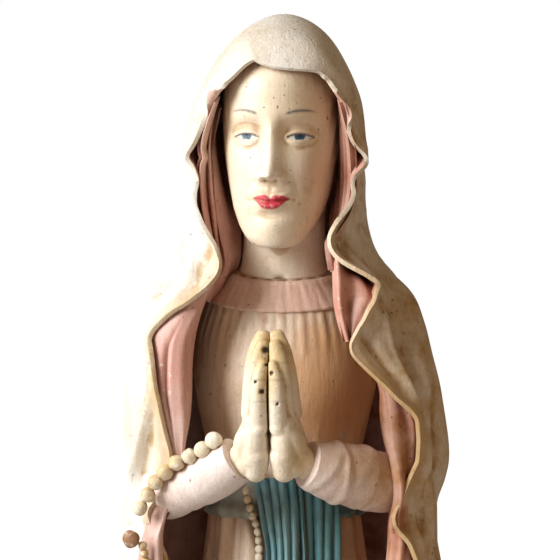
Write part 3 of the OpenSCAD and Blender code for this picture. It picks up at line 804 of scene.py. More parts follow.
def borderAt(border, z):
    rows = np.array(border)[:, [2, 0, 1]][::-1]
    fine = np.linspace(rows[0, 0], rows[-1, 0], 1400)
    values = np.stack([np.interp(fine, rows[:, 0], rows[:, k]) for k in (1, 2)], axis=1)
    values = soften(values, 3.2)
    return np.stack([np.interp(z, fine, values[:, k]) for k in (0, 1)] + [z], axis=1)


def makeMantle():
    # finer rows down to the waist than below it
    seen = mantleSize["seenLevels"]
    t = np.concatenate([
        np.linspace(0, seen, seen * mantleSize["rowsPerLevel"] + 1),
        np.linspace(seen, len(bodyRows) - 1, mantleSize["rowsBelow"] + 1)[1:]])
    rows = spline(bodyRows, t)
    z = rows[:, 0]
    backZ = rows[:, 2]
    columns = []
    spread = along(sideRows, z)
    for side, border, out in ((-1, rightBorder, spread[:, 0]), (1, leftBorder, spread[:, 1])):
        edge = borderAt(border, z)
        part = [edge]
        for k, share, given in ((7, 0.12, 1.0), (5, 0.45, 0.9), (3, 0.85, 0.25)):
            across = side * (rows[:, k] + given * out)
            part.append(np.stack([across, rows[:, k + 1], z + share * (backZ - z)], axis=1))
        # where a border is pulled across the chest, the cloth between follows it round the front
        reach = edge[:, :2] - part[1][:, :2]
        middle = part[1].copy()
        middle[:, :2] = part[1][:, :2] + reach * 0.5
        middle[:, 1] -= 0.10 * np.abs(reach[:, 0])
        middle[:, 2] = z + 0.05 * (backZ - z)
        part.insert(1, middle)
        columns.append(part)
    centre = np.stack([z * 0, rows[:, 1], backZ], axis=1)
    control = np.stack([*columns[0], centre, *columns[1][::-1]], axis=1)
    last = control.shape[1] - 1
    s = np.linspace(0, last, mantleSize["across"])
    grid = np.moveaxis(spline(np.moveaxis(control, 1, 0), s), 0, 1)

    # hanging folds, shallow over the shoulders and deep at the hem
    u = s / last * 2 - 1
    away = step(1 - np.abs(u), 0.02, 0.10)
    zz = z[:, None]
    drift = 0.35 * np.sin(zz / 43.0) + 0.2 * np.sin(zz / 19.0 + 2)
    shallow = np.sin(26 * u[None] + 2.2 * drift) * 0.55 + np.sin(41 * u[None] - 3 * drift + 1) * 0.35
    shallow += 0.9 * ridge(u[None], -0.62 + 0.0007 * (zz - 300), 0.035)
    shallow += 1.0 * ridge(u[None], 0.60 - 0.0006 * (zz - 300), 0.03)
    shallow -= 0.8 * ridge(u[None], 0.70 - 0.0009 * (zz - 300), 0.028)
    upper = step(352 - zz, 0, 45)
    deep = np.sin(math.pi * mantleSize["hemFolds"] * u[None] + 1.5 * drift + 0.6)
    deep = np.sign(deep) * np.abs(deep) ** 0.8
    lower = step(265 - zz, 0, 190)
    folds = mantleSize["foldDepth"] * shallow * upper + mantleSize["hemDepth"] * deep * lower
    push = away[None] * folds
    x, y, height = np.moveaxis(grid, 2, 0)
    for line, tall, width in creases:
        line = np.array(line, float)[::-1]
        middle = np.interp(height, line[:, 1], line[:, 0])
        bottom, top = line[0, 1], line[-1, 1]
        ends = step(height, bottom - 6, bottom + 8) * step(top + 4 - height, 0, 8)
        front = step(6 - y, 0, 6) * (np.sign(x) == np.sign(middle))
        standing = mantleSize["creaseStrength"] * tall * ridge(x, middle, width)
        push = push + standing * ends * front * np.minimum(1, away[None] + 0.3)
    # the hood turns over in a small shelf beside each eye
    beside = step(np.abs(u), 0.42, 0.72)[None]
    push = push + beside * (0.9 * ridge(zz, 357.6, 2.6) - 0.9 * ridge(zz, 350.5, 2.4))
    n = normalsOf(grid)
    backRow, backColumn = 40, mantleSize["across"] // 2
    if n[backRow, backColumn, 1] < 0:
        n = -n
    grid = grid + n * push[..., None]
    # the edge over the forehead isn't level
    edge = np.array(foreheadEdge)
    places = np.linspace(-20, 19, 200)
    wanted = soften(np.interp(places, edge[:, 0], edge[:, 1])[:, None], 2.5)[:, 0]
    raised = np.interp(grid[0, :, 0], places, wanted) - grid[0, :, 2]
    fade = step(1 - t / 1.6, 0, 1)
    grid[..., 2] += raised[None] * fade[:, None]
    grid[..., 1] += 0.22 * np.maximum(raised, 0)[None] * fade[:, None]
    grid[..., 2] = np.maximum(grid[..., 2], 0.4)
    obj = gridObject("veilAndMantle", grid)
    # the outside of the cloth faces away from the figure
    centreFace = obj.data.polygons[backRow * (mantleSize["across"] - 1) + backColumn]
    if centreFace.normal.y < 0:
        turnOver(obj)
    edgeShare = np.minimum(1, (1 - np.abs(u)) / 0.19)[None] * np.ones_like(zz)
    below = step(345 - zz, 0, 30) * (0.75 + 0.25 * np.sin(zz / 6.0) * np.sin(zz / 17.0))
    paint(obj, "hem", np.clip(1.15 - 1.15 * edgeShare, 0, 1) * below)
    thicken(obj, mantleSize["wall"], [mantleMat, liningMat], lining=1, roundEdge=mantleSize["roundEdge"])
    finishPiece(obj, [], ["mantle"], 70)


makeMantle()
print("mantle made")


ribbonSize = {"wall": 1.8, "roundEdge": 0.4}


def ribbon(name, rails, rows, cols, relief):
    # a strip of cloth through several rails, each a list of places from top to bottom
    dense = [spline(r, np.linspace(0, len(r) - 1, rows)) for r in rails]
    control = np.stack(dense, axis=0)
    grid = np.moveaxis(spline(control, np.linspace(0, len(rails) - 1, cols)), 0, 1)
    n = normalsOf(grid)
    if n[..., 1].mean() > 0:
        n = -n
    down, across = np.meshgrid(np.linspace(0, 1, rows), np.linspace(0, 1, cols), indexing="ij")
    grid = grid + n * relief(across, down)[..., None]
    obj = gridObject(name, grid)
    faceFront(obj)
    thicken(obj, ribbonSize["wall"], [liningMat], roundEdge=ribbonSize["roundEdge"])
    return obj


def makeLinings():
    hoodRight = ribbon("hoodLiningRight", [
        [(-18.6, -20.2, 374.5), (-22.8, -17.4, 363), (-23.6, -15.8, 351), (-22.6, -17, 341),
         (-20.4, -20, 334), (-16.5, -23.5, 326), (-22, -15, 316)],
        [(-17.8, -16.6, 375.5), (-21.8, -15, 363), (-22.4, -13.4, 351), (-21.4, -14.4, 341),
         (-20, -17.4, 334), (-17, -20, 326), (-22, -12, 315)],
        [(-18, -12, 376.5), (-21.9, -10.6, 363), (-22.2, -9.6, 351), (-21.5, -10.4, 341),
         (-20, -13.2, 334), (-18, -15.6, 325), (-22, -9, 314)],
        [(-18.4, -10, 376.5), (-20.6, -12.4, 364), (-20.6, -12.6, 351), (-19.6, -13.2, 341),
         (-18.6, -13.8, 334), (-17.2, -14.6, 325), (-21.5, -7, 314)],
        [(-19, -5, 376.5), (-20.2, -6, 363), (-18.6, -6.4, 351), (-16.6, -7, 341), (-15.8, -8, 334),
         (-15.6, -9, 325), (-20.5, -3, 314)],
        [(-19, 4, 376.5), (-20.2, 3, 363), (-17.6, 2, 351), (-14, 0, 341), (-13, -1, 334),
         (-13.5, -2, 325), (-19.5, 1, 314)],
    ], 110, 60, lambda a, d: 0.9 * ridge(d, 0.24, 0.025) * step(0.6 - a, 0, 0.2) + 0.35 * np.sin(26 * a))
    hoodLeft = ribbon("hoodLiningLeft", [
        [(19.0, -20.2, 374.5), (21.4, -17.4, 363), (22.0, -16.4, 351), (20.8, -18.2, 343),
         (17.6, -21.6, 337), (15, -23.8, 333), (16, -24, 325)],
        [(18.0, -16.6, 375.5), (20.2, -14.4, 363), (20.6, -13.4, 351), (19.6, -15, 343),
         (17.6, -18, 337), (15.6, -20, 332), (16.5, -20, 324)],
        [(17.6, -12, 375), (19.0, -12.4, 363), (19.2, -11.4, 351), (18.6, -12.6, 343),
         (17.6, -14.6, 337), (16.4, -16, 331), (17, -16, 323)],
        [(17.4, -9, 375), (17.6, -8, 363), (17.6, -7.4, 351), (17.2, -8.4, 343), (17, -9.6, 337),
         (16.6, -11, 331), (17, -12, 323)],
        [(16.4, 4, 375), (16.6, 3, 363), (16, 2, 351), (14.2, 0, 343), (13.6, -1, 337), (14, -2, 331),
         (15, -3, 321)],
    ], 110, 54, lambda a, d: 0.4 * np.sin(30 * a + 1))
    hood = joined("hoodLining", [hoodRight, hoodLeft])
    finishPiece(hood, [liningMat], [], 70)

    def lapelRelief(a, d):
        crease = 1.7 * ridge(a, 0.27, 0.045) * ridge(d, 0.27, 0.10)
        return 1.2 * ridge(a, 0.5 + 0.1 * d, 0.11) - 0.7 * ridge(a, 0.72 + 0.06 * d, 0.05) - crease

    rightFall = ribbon("rightFall", [
        [(-22.6, -24, 321), (-29.1, -24.6, 315), (-35.2, -24, 310), (-38.6, -24, 303.8),
         (-38.0, -25.5, 293.4), (-36, -27, 283.0), (-33.5, -28.5, 272.6), (-34, -29, 264),
         (-38, -28, 250), (-41, -27, 236), (-40, -28, 200), (-40, -28, 140), (-40, -28, 90),
         (-41, -29, 40), (-41, -30, 0.8)],
        [(-21.2, -23, 320), (-26.0, -25.6, 313.3), (-30.7, -26.8, 305.4), (-32.5, -27.2, 299.7),
         (-32.7, -28.3, 288.4), (-31, -29.3, 278.6), (-29.6, -30, 270), (-30.5, -30, 262),
         (-35, -30, 250), (-37, -29.6, 236), (-31, -31, 196), (-34, -30, 140), (-30, -32, 92),
         (-35, -31, 40), (-35, -32, 0.8)],
        [(-20.0, -21.6, 320.5), (-23.6, -23.6, 314.5), (-27.2, -25.2, 305.6), (-28.4, -25.8, 298.6),
         (-28.6, -27, 287.8), (-28.0, -28.2, 279), (-28.3, -29, 270), (-29, -29, 262),
         (-33.6, -30, 251), (-35, -30.5, 236), (-27, -31, 190), (-30.5, -31, 138), (-26, -32, 88),
         (-31, -32, 38), (-31, -33, 0.8)],
        [(-18.9, -19, 321.4), (-21.6, -20, 315.5), (-24.0, -21, 306.0), (-24.8, -22, 297.6),
         (-24.9, -23.5, 287.2), (-25.4, -25, 279.9), (-26.6, -27, 271.6), (-27.4, -27.4, 262),
         (-32, -28.4, 252), (-32.5, -28.5, 236), (-24.5, -28, 186), (-27.5, -28, 136), (-24, -29, 84),
         (-28, -29, 36), (-28, -30, 0.8)],
        [(-18.5, -15, 321.4), (-21.4, -15, 315.5), (-25.5, -16, 306.0), (-27.5, -16, 297.6),
         (-27.5, -17, 287.2), (-27, -19, 279.9), (-28, -21, 271.6), (-29, -22, 262), (-33, -23, 252),
         (-34, -23, 236), (-28, -22, 186), (-31, -22, 136), (-29, -23, 84), (-32, -24, 36),
         (-32, -25, 0.8)],
    ], 330, 64, lapelRelief)
    finishPiece(rightFall, [liningMat], ["right_fall"], 70)

    upperLeft = ribbon("upperLeftFall", [
        [(15.8, -18, 332), (16.2, -19, 329.6), (16.7, -20, 323.3), (17.1, -21, 315.9),
         (18.4, -23, 310.0), (20.8, -26, 303.5)],
        [(16.0, -21, 332), (17.0, -23.5, 329.6), (17.5, -25.0, 323.3), (17.9, -26, 315.9),
         (19.0, -27.5, 310.0), (21.2, -29, 304.1)],
        [(16.9, -23.2, 332), (18.7, -25.4, 329.3), (19.3, -27, 323.5), (19.7, -28, 316.0),
         (20.7, -29, 310.1), (22.2, -29.6, 304.1)],
        [(18.0, -19, 329), (21.0, -18.5, 326), (23.2, -24, 322.5), (22.8, -25, 316.0),
         (22.5, -26.5, 310.5), (22.8, -28.6, 304.5)],
        [(20, -18, 328), (24.0, -17.5, 323.6), (27.0, -23.6, 320.6), (27.4, -25.6, 316.6),
         (25.2, -26.8, 311.0), (23.4, -28.6, 304.8)],
        [(21.5, -17, 326.5), (26.0, -16, 322), (28.8, -21.5, 319.4), (28.8, -24.8, 316),
         (27.4, -26.6, 311.4), (24.2, -28.4, 305.2)],
    ], 110, 60, lambda a, d: 0.25 * np.sin(20 * a))
    lowerLeft = ribbon("lowerLeftFall", [
        [(27.5, -19, 298), (30.6, -19, 289.3), (31.0, -20, 282.1), (32.0, -21, 275.4),
         (33.8, -22, 267.4), (34.8, -23, 258.4), (33.8, -23, 250.0), (33.1, -23, 238.0), (28, -22, 190),
         (32, -22, 140), (29, -23, 92), (32, -24, 40), (32, -24, 0.8)],
        [(28.2, -24, 296), (31.7, -24.5, 289.3), (31.7, -25, 282.1), (32.8, -26.5, 275.4),
         (34.7, -28, 267.4), (35.7, -29, 258.4), (34.5, -29, 250.0), (34.1, -28, 238.0), (25, -28, 186),
         (28, -28, 140), (25, -29, 90), (28, -29, 40), (28, -30, 0.8)],
        [(30.0, -26, 296), (33.4, -27, 287.5), (34.8, -28.5, 279.1), (35.8, -30, 272.3),
         (37.2, -30.8, 265.5), (38.0, -31.2, 258.6), (36.9, -30.8, 250.5), (37.3, -30, 238.1),
         (28.5, -31.4, 188), (32, -31, 140), (28, -32.4, 92), (32, -32, 40), (32, -32.5, 0.8)],
        [(33.0, -26.0, 295), (37.0, -26.0, 287), (39.0, -25.6, 279.6), (39.6, -26.6, 272.6),
         (39.9, -27.8, 266), (39.6, -28.6, 259.4), (38.9, -28.4, 250.2), (39.6, -27.8, 238),
         (34, -30.0, 192), (37, -29, 140), (33, -30.4, 96), (37, -30, 40), (37, -31, 0.8)],
        [(34.4, -25, 293), (39.0, -25.2, 286), (41.8, -24.6, 280), (42.3, -24.6, 272.7),
         (41.8, -25.6, 266.4), (40.6, -27.0, 259.9), (39.6, -27.2, 250.0), (41.0, -26.4, 237.9),
         (40, -28.4, 196), (41, -27.8, 140), (39, -29, 98), (41, -29, 40), (41, -30, 0.8)],
    ], 320, 64, lambda a, d: 0.3 * np.sin(22 * a + 3 * d))
    leftFall = joined("leftFall", [upperLeft, lowerLeft])
    finishPiece(leftFall, [liningMat], ["left_fall"], 70)


makeLinings()
print("linings made")


gownRows = [
    [0.5, 45, 34.5, 1, 2.6],
    [30, 42, 32, 1, 2.8],
    [90, 36, 27.5, 1.5, 2.4],
    [170, 29.5, 23.5, 2, 1.8],
    [225, 25.5, 21, 2.5, 1.3],
    [248, 22.5, 19, 2.5, 0.9],
    [262, 21.5, 18, 2.5, 0.4],
    [275, 24.5, 20, 2.5, 0.15],
    [290, 27.5, 21, 2.5, 0],
    [303, 26.5, 19.5, 3, 0],
    [312, 23.4, 17, 3, 0],
    [317, 19.6, 15, 3, 0],
    [321, 16.5, 13.6, 2.5, 0],
]
gownSize = {
    "rows": 230,
    "around": 300,
    "folds": 13,
    "gathers": 46,
    "gatherDepth": 0.17,
    "neckTilt": 0.24,
}


def gownSurface(angle, z, lift=0.0):
    # angle 0 is the front, and it grows towards the figure's left
    rows = along(gownRows, z)
    half, deep, mid, fold = rows[..., 0], rows[..., 1], rows[..., 2], rows[..., 3]
    wander = 0.5 * np.sin(z / 37.0) + 0.7 * np.sin(2 * angle + z / 71.0)
    wave = np.sin(gownSize["folds"] * angle + wander)
    second = np.sin(2.3 * gownSize["folds"] * angle + 2 * wander)
    relief = fold * (np.abs(wave) ** 0.7 * np.sign(wave) * 0.75 + 0.35 * second)
    fine = step(z, 294, 309) * (1 - step(z, 311.0, 312.5))
    gather = np.sin(gownSize["gathers"] * angle + 1.2 * np.sin(3 * angle))
    gather += 0.6 * np.sin(gownSize["gathers"] * 0.53 * angle + 1)
    relief = relief + gownSize["gatherDepth"] * fine * gather + lift
    x = (half + relief) * np.sin(angle)
    y = mid - (deep + relief) * np.cos(angle)
    tilt = gownSize["neckTilt"] * step(z, 286, 318)
    return np.stack([x, y, z + tilt * (np.minimum(y, 3) + 12)], axis=-1)


def makeGown():
    z = np.linspace(0.5, 321, gownSize["rows"])
    angle = np.linspace(-math.pi, math.pi, gownSize["around"], endpoint=False)
    a, zz = np.meshgrid(angle, z)
    obj = gridObject("gownBody", gownSurface(a, zz), ring=True, caps=True)
    outward(obj)
    p = pointsOf(obj)
    # amber over the front of the chest and the skirt on the figure's left, the side away from the key lamp,
    # is partly the gown's own warmer tone and partly painted shade; a faint streak of it runs down her
    # right side
    chest = step(p[:, 0], 0, 15) * step(p[:, 2], 255, 275) * step(316 - p[:, 2], 0, 12)
    skirt = 0.8 * step(262 - p[:, 2], 0, 6) * step(p[:, 0], 10, 20)
    streak = 0.35 * ridge(p[:, 0], -16, 3.5)
    paint(obj, "amberAndShade", np.clip((chest + skirt + streak) * (p[:, 1] < 4), 0, 1))
    finishPiece(obj, [gownMat], ["gown"], 70)


collarSize = {
    "low": 311.6,
    "high": 320.6,
    "thick": 1.3,
    "wall": 1.0,
    "sunk": 0.35,
    "rows": 26,
    "around": 300,
}


def roundGown(size):
    # angle, share of the height and height for every point of a band round the gown
    v = np.linspace(0, 1, size["rows"])
    angle = np.linspace(-math.pi, math.pi, size["around"], endpoint=False)
    a, vv = np.meshgrid(angle, v)
    return a, vv, size["low"] + (size["high"] - size["low"]) * vv


def makeCollar():
    a, vv, z = roundGown(collarSize)
    swell = collarSize["thick"] * np.minimum(1, 3.2 * np.sqrt(np.maximum(vv * (1 - vv), 0)))
    swell += 0.07 * np.sin(31 * a + 3 * vv) + 0.05 * np.sin(53 * a)
    obj = gridObject("collarBand", gownSurface(a, z, swell - collarSize["sunk"]), ring=True)
    outward(obj)
    thicken(obj, collarSize["wall"], [collarMat])
    finishPiece(obj, [collarMat], ["collar_band"], 70)


sashSize = {"low": 249.5, "high": 262, "thick": 1.7, "wall": 1.6, "rows": 44, "around": 260}


def makeSash():
    a, vv, z = roundGown(sashSize)
    swell = sashSize["thick"] * np.minimum(1, 3 * np.sqrt(np.maximum(vv * (1 - vv), 0)))
    swell += 0.45 * np.sin(14 * vv + 1.5 * np.sin(a * 2)) * np.minimum(1, 6 * vv * (1 - vv) * 2)
    obj = gridObject("waistSash", gownSurface(a, z, swell), ring=True)
    outward(obj)
    p = pointsOf(obj)
    paint(obj, "faded", step(-p[:, 0], 5.5, 8) * (p[:, 1] < 6))
    thicken(obj, sashSize["wall"], [sashMat])
    finishPiece(obj, [sashMat], ["waist_sash"], 70)


# height, and the left and right side (x) of each tail there, over the gown
tailShapes = {
    "rightSashTail": ("right_sash_tail", [
        [262, -7.4, 6], [254, -6.0, 6.4], [240, -3.4, 6.4], [215, -4.2, 6.2], [170, -7.5, 5.4],
        [120, -10.8, 4.8], [92, -12, 4.6]]),
    "leftSashTail": ("left_sash_tail", [
        [262, 5.2, 18], [254, 5.8, 18], [240, 6.8, 17.6], [215, 6.8, 18], [170, 6.2, 19.6],
        [120, 5.6, 21.2], [104, 5.5, 21.6]]),
}
tailSize = {"rows": 190, "across": 64, "pleats": 5, "wall": 2.0}


def makeTails():
    for name, (node, shape) in tailShapes.items():
        z = np.linspace(shape[0][0], shape[-1][0], tailSize["rows"])
        sides = along(shape, z)
        u = np.linspace(0, 1, tailSize["across"])
        x = sides[:, :1] + (sides[:, 1:] - sides[:, :1]) * u[None]
        zz = np.repeat(z[:, None], tailSize["across"], 1)
        g = along(gownRows, zz)
        angle = np.arcsin(np.clip(x / (g[..., 0] + 2), -0.98, 0.98))
        edge = np.minimum(1, 4.2 * np.sqrt(np.maximum(u * (1 - u), 0)))[None]
        pleat = np.abs(np.sin(math.pi * (tailSize["pleats"] * u[None] + 0.25 * np.sin(zz / 30.0)))) ** 0.7
        lift = 0.5 + 1.5 * edge + 1.5 * pleat * edge + 0.25 * np.sin(zz / 11.0 + 5 * u[None])
        lift += 1.4 * g[..., 3]
        obj = gridObject(name, gownSurface(angle, zz, lift))
        faceFront(obj)
        paint(obj, "faded", np.zeros(len(obj.data.vertices)))
        thicken(obj, tailSize["wall"], [sashMat])
        finishPiece(obj, [sashMat], [node], 70)


makeGown()
makeCollar()
makeSash()
makeTails()
print("gown made")


headSize = {
    "turn": 3.0,
    "around": 300,
    "eyeLine": 364.5,
    "browLine": 371.2,
    "noseBase": 351.6,
    "mouthLine": 345.4,
    "eyeApart": 8.1,
}
# from, to and number of rows: neck, face and crown
headLevels = [(314, 331, 40), (331, 388, 151), (388, 395.5, 26)]
# height, half width, front, back of the skull and jaw
skullRows = [
    [330.4, 1.2, -20.5, -14.0],
    [331.0, 4.4, -22.6, -11.0],
    [332.2, 6.8, -24.0, -9.0],
    [334.2, 9.0, -24.9, -6.0],
    [337.4, 11.2, -25.3, 0],
    [342.5, 13.6, -25.1, 8],
    [350, 15.6, -24.6, 15],
    [358, 17.2, -24.2, 19.5],
    [366, 18.0, -23.8, 22],
    [374, 18.3, -23.8, 23.2],
    [382, 17.6, -22.4, 22.5],
    [389, 15.0, -18.5, 19.5],
    [393.5, 9.5, -12.5, 13.5],
    [395.5, 2.5, -4.0, 5.0],
]
# height, half width, front, back of the neck and the slope of the shoulders
neckRows = [
    [314, 17.0, -10.5, 13],
    [318, 15.6, -10.6, 13],
    [321.5, 14.2, -10.8, 13],
    [325.5, 12.9, -10.6, 12.5],
    [331, 12.4, -10.4, 12.5],
    [338, 12.3, -11.0, 13],
    [348, 12.6, -11.0, 14],
    [360, 8.0, -8.0, 10],
    [372, 1.0, -3.0, 3],
]


def rayLength(rows, z, angle, axisY):
    r = along(rows, z)
    half, front, back = r[..., 0], r[..., 1], r[..., 2]
    mid = (front + back) / 2
    deep = (back - front) / 2
    dx, dy = np.sin(angle), -np.cos(angle)
    # where a ray from (0, axisY) meets the ellipse
    a = (dx / half) ** 2 + (dy / deep) ** 2
    b = dy * (axisY - mid) / deep**2
    c = ((axisY - mid) / deep) ** 2 - 1
    return (-b + np.sqrt(np.maximum(b * b - a * c, 0))) / a


def makeHead():
    h = headSize
    low, face, top = (np.linspace(*level) for level in headLevels)
    z = np.concatenate([low[:-1], face, top[1:]])
    v = np.linspace(-1, 1, h["around"], endpoint=False)
    angle = math.pi * (0.42 * v + 0.58 * v**3)
    a, zz = np.meshgrid(angle, z)
    axisY = -9 + 7 * step(zz, 345, 380)
    inSkull = step(zz, 330.2, 331.4)
    skull = rayLength(skullRows, np.maximum(zz, 330.5), a, axisY) * inSkull
    neck = rayLength(neckRows, np.minimum(zz, 372), a, axisY)
    soft = 0.9
    r = soft * np.log(np.exp(np.minimum(skull / soft, 60)) + np.exp(np.minimum(neck / soft, 60)))
    x = r * np.sin(a)
    y = axisY - r * np.cos(a)

    front = step(np.cos(a), 0.15, 0.55)
    ax = np.abs(x)
    push = np.zeros_like(x)
    eyeX, eyeZ = h["eyeApart"], h["eyeLine"]
    # forehead, brow, sockets
    push += 0.9 * ridge(x, 0, 13) * ridge(zz, 379, 9)
    push += 0.75 * ridge(ax, 7.8, 5.4) * ridge(zz, h["browLine"] - 0.6, 2.5)
    push -= 3.0 * ridge(ax, eyeX - 0.1, 5.2) * ridge(zz, eyeZ + 0.9, 3.9)
    push -= 1.1 * ridge(ax, 4.2, 1.9) * ridge(zz, eyeZ + 1.0, 3.4)
    # eyeball under its lids
    ball = np.maximum(0, 1 - ((ax - eyeX) / 4.7) ** 2 - ((zz - eyeZ) / 3.3) ** 2)
    push += 2.3 * ball**0.8
    openTop = eyeZ + 0.62 - 1.25 * ((ax - eyeX + 0.3) / 4.1) ** 2
    openLow = eyeZ - 1.10 + 0.85 * ((ax - eyeX) / 4.1) ** 2
    within = (np.abs(ax - eyeX) < 4.0)
    opening = step(openTop - zz, -0.12, 0.12) * step(zz - openLow, -0.12, 0.12) * within
    push -= 0.45 * opening
    upperLid = ridge(zz, openTop + 0.5, 0.5) * step(4.6 - np.abs(ax - eyeX), 0, 0.9)
    push += 0.34 * upperLid
    push -= 0.5 * ridge(zz, openTop + 1.75, 0.42) * step(4.8 - np.abs(ax - eyeX), 0, 1.2)
    push += 0.22 * ridge(zz, openLow - 0.45, 0.5) * step(4.2 - np.abs(ax - eyeX), 0, 1.0)
    # nose
    root, tip = h["browLine"] - 1.0, h["noseBase"] + 1.9
    f = np.clip((root - zz) / (root - tip), 0, 1.25)
    bridge = 0.6 + 1.2 * f + 3.5 * np.minimum(f, 1) ** 1.7
    under = step(zz, h["noseBase"] - 0.7, h["noseBase"] + 1.5)
    over = step(root + 5.5 - zz, 0, 6.5)
    width = 2.9 + 0.1 * f + 0.6 * np.minimum(f, 1) ** 3
    push += bridge * ridge(x, 0, width) * under * over
    push += 1.2 * ridge(x, 0, 2.3) * ridge(zz, tip - 0.1, 1.9)
    push += 1.7 * ridge(ax, 3.1, 1.35) * ridge(zz, h["noseBase"] + 1.1, 1.35)
    push -= 0.5 * ridge(ax, 4.5, 0.8) * ridge(zz, h["noseBase"] + 1.0, 1.8)
    push -= 1.0 * ridge(ax, 1.55, 0.62) * ridge(zz, h["noseBase"] + 0.05, 0.5)
    # cheeks and the folds from nose to mouth
    push += 1.25 * ridge(ax, 11.0, 5.0) * ridge(zz, 354.5, 7.0)
    push -= 0.35 * ridge(ax, 6.6 + 0.25 * (h["noseBase"] - zz), 1.2) * ridge(zz, 348.5, 3.4)
    # mouth
    mouth = h["mouthLine"]
    push += 1.5 * ridge(x, 0, 6.6) * ridge(zz, mouth, 4.6)
    line = mouth - 0.12 * np.cos(ax * 0.75) + 0.018 * ax**2
    reach = step(6.1 - ax, 0, 2.6)
    bow = 0.75 + 0.45 * ridge(ax, 1.5, 1.5) - 0.25 * ridge(ax, 0, 0.7)
    upper = ridge(zz, line + 1.0, 0.85) * reach * bow
    lower = ridge(zz, line - 1.25, 1.05) * step(5.4 - ax, 0, 3.0)
    push += 0.85 * upper + 1.1 * lower
    push -= 0.7 * ridge(zz, line, 0.4) * step(6.5 - ax, 0, 1.6)
    push -= 0.45 * ridge(ax, 6.7, 0.8) * ridge(zz, mouth + 0.2, 0.8)
    push -= 0.3 * ridge(x, 0, 0.8) * ridge(zz, mouth + 3.1, 1.6)
    push -= 0.75 * ridge(x, 0, 4.2) * ridge(zz, mouth - 4.3, 1.3)
    # chin
    push += 0.8 * ridge(x, 0, 4.4) * ridge(zz, 337.4, 3.0)
    y = y - push * front
    # hollow at the root of the neck, with a faint collar bone each side of it
    low = step(324.5 - zz, 0, 2) * step(np.cos(a), 0.3, 0.7)
    y = y + 1.4 * ridge(x, 0, 1.8) * ridge(zz, 320.4, 1.7) * low
    y = y - 0.9 * ridge(ax, 4.8, 3.6) * ridge(zz, 319.6, 1.5) * low
    cord = 0.5 * ridge(ax, 5.5 + (zz - 321) * 0.15, 1.3)
    y = y - cord * step(zz, 321, 325) * step(336 - zz, 0, 5) * front

    # the head turns a little on the neck
    twist = math.radians(h["turn"]) * step(zz, 322, 336)
    xt = x * np.cos(twist) + y * np.sin(twist)
    yt = -x * np.sin(twist) + y * np.cos(twist)
    tilt = gownSize["neckTilt"] * step(326 - zz, 0, 9)
    out = np.stack([xt, yt, zz + tilt * (np.minimum(yt, 3) + 12)], axis=-1)
    obj = gridObject("headAndNeck", out, ring=True, caps=True)

    iris = step(1.6 - np.hypot(ax - eyeX + 0.1, zz - eyeZ - 0.15), -0.12, 0.2) * opening
    pupil = step(0.7 - np.hypot(ax - eyeX + 0.1, zz - eyeZ - 0.15), -0.1, 0.15) * opening
    lashLine = ridge(zz, openTop + 0.12, 0.34) * step(4.3 - np.abs(ax - eyeX), 0, 0.6)
    lowLash = 0.55 * ridge(zz, openLow - 0.05, 0.2) * step(ax, eyeX - 0.5, eyeX + 3)
    lowLash = lowLash * step(4.1 - np.abs(ax - eyeX), 0, 0.5)
    browZ = h["browLine"] + 1.0 - 0.045 * (ax - 8.8) ** 2
    brow = ridge(zz, browZ, 0.34 + 0.14 * ridge(ax, 6, 3)) * step(ax, 3.9, 5.2) * step(13.6 - ax, 0, 3.5)
    lipTop = line + 1.9 * reach * (0.72 + 0.3 * ridge(ax, 1.6, 1.3) - 0.2 * ridge(ax, 0, 0.6))
    lipLow = line - 2.3 * step(6.0 - ax, 0, 4.5)
    lip = step(lipTop - zz, -0.25, 0.3) * step(zz - lipLow, -0.25, 0.35) * step(6.0 - ax, 0, 0.8)
    nostril = ridge(ax, 1.6, 0.5) * ridge(zz, h["noseBase"], 0.45)
    nostril = nostril + 0.5 * ridge(zz, line, 0.2) * step(6.3 - ax, 0, 1.2)
    blush = ridge(ax, 11.0, 4.6) * ridge(zz, 354.0, 5.0)
    blush = blush + 0.5 * ridge(ax, eyeX, 4.5) * ridge(zz, eyeZ + 3.6, 1.2)
    masks = {
        "blush": blush,
        "eyeWhite": opening,
        "iris": iris,
        "lid": upperLid + ridge(zz, openTop + 1.75, 0.5) * within,
        "lash": np.maximum(np.maximum(lashLine, lowLash), pupil),
        "brow": brow,
        "lip": lip,
        "nostril": nostril,
    }
    for name, values in masks.items():
        paint(obj, name, np.clip(values * front, 0, 1))
    outward(obj, merge=False)
    finishPiece(obj, [skinMat], ["head"], 180)


makeHead()
print("head made")


def limb(points, radii, around=28, steps=40, flat=1.0, flatWay=(1, 0, 0)):
    # a rounded tube along a smooth line; flat squeezes it along one direction
    t = np.linspace(0, len(points) - 1, steps)
    line = spline(points, t)
    size = spline(np.array(radii, float)[:, None], t)[:, 0]
    way = np.gradient(line, axis=0)
    way /= np.linalg.norm(way, axis=1, keepdims=True)
    # rounded ends
    s = np.linspace(0, math.pi / 2, 8)[:-1]
    first = [line[0] - way[0] * size[0] * math.cos(q) for q in s]
    last = [line[-1] + way[-1] * size[-1] * math.sin(q) for q in (math.pi / 2 - s)[::-1]]
    line = np.concatenate([first, line, last])
    size = np.concatenate([size[0] * np.sin(s), size, size[-1] * np.sin(s)[::-1]])
    way = np.concatenate([np.repeat(way[:1], len(s), 0), way, np.repeat(way[-1:], len(s), 0)])
    side = np.array(flatWay, float)
    side = side[None] - way * (way @ side)[:, None]
    side /= np.linalg.norm(side, axis=1, keepdims=True)
    up = np.cross(way, side)
    size = np.maximum(size, 0.02)
    angle = np.linspace(0, 2 * math.pi, around, endpoint=False)
    ring = line[:, None] + size[:, None, None] * (
        side[:, None] * np.cos(angle)[None, :, None] * flat + up[:, None] * np.sin(angle)[None, :, None])
    return gridObject("limb", ring, ring=True, caps=True)


handSize = {"voxel": 0.38, "soft": 2}
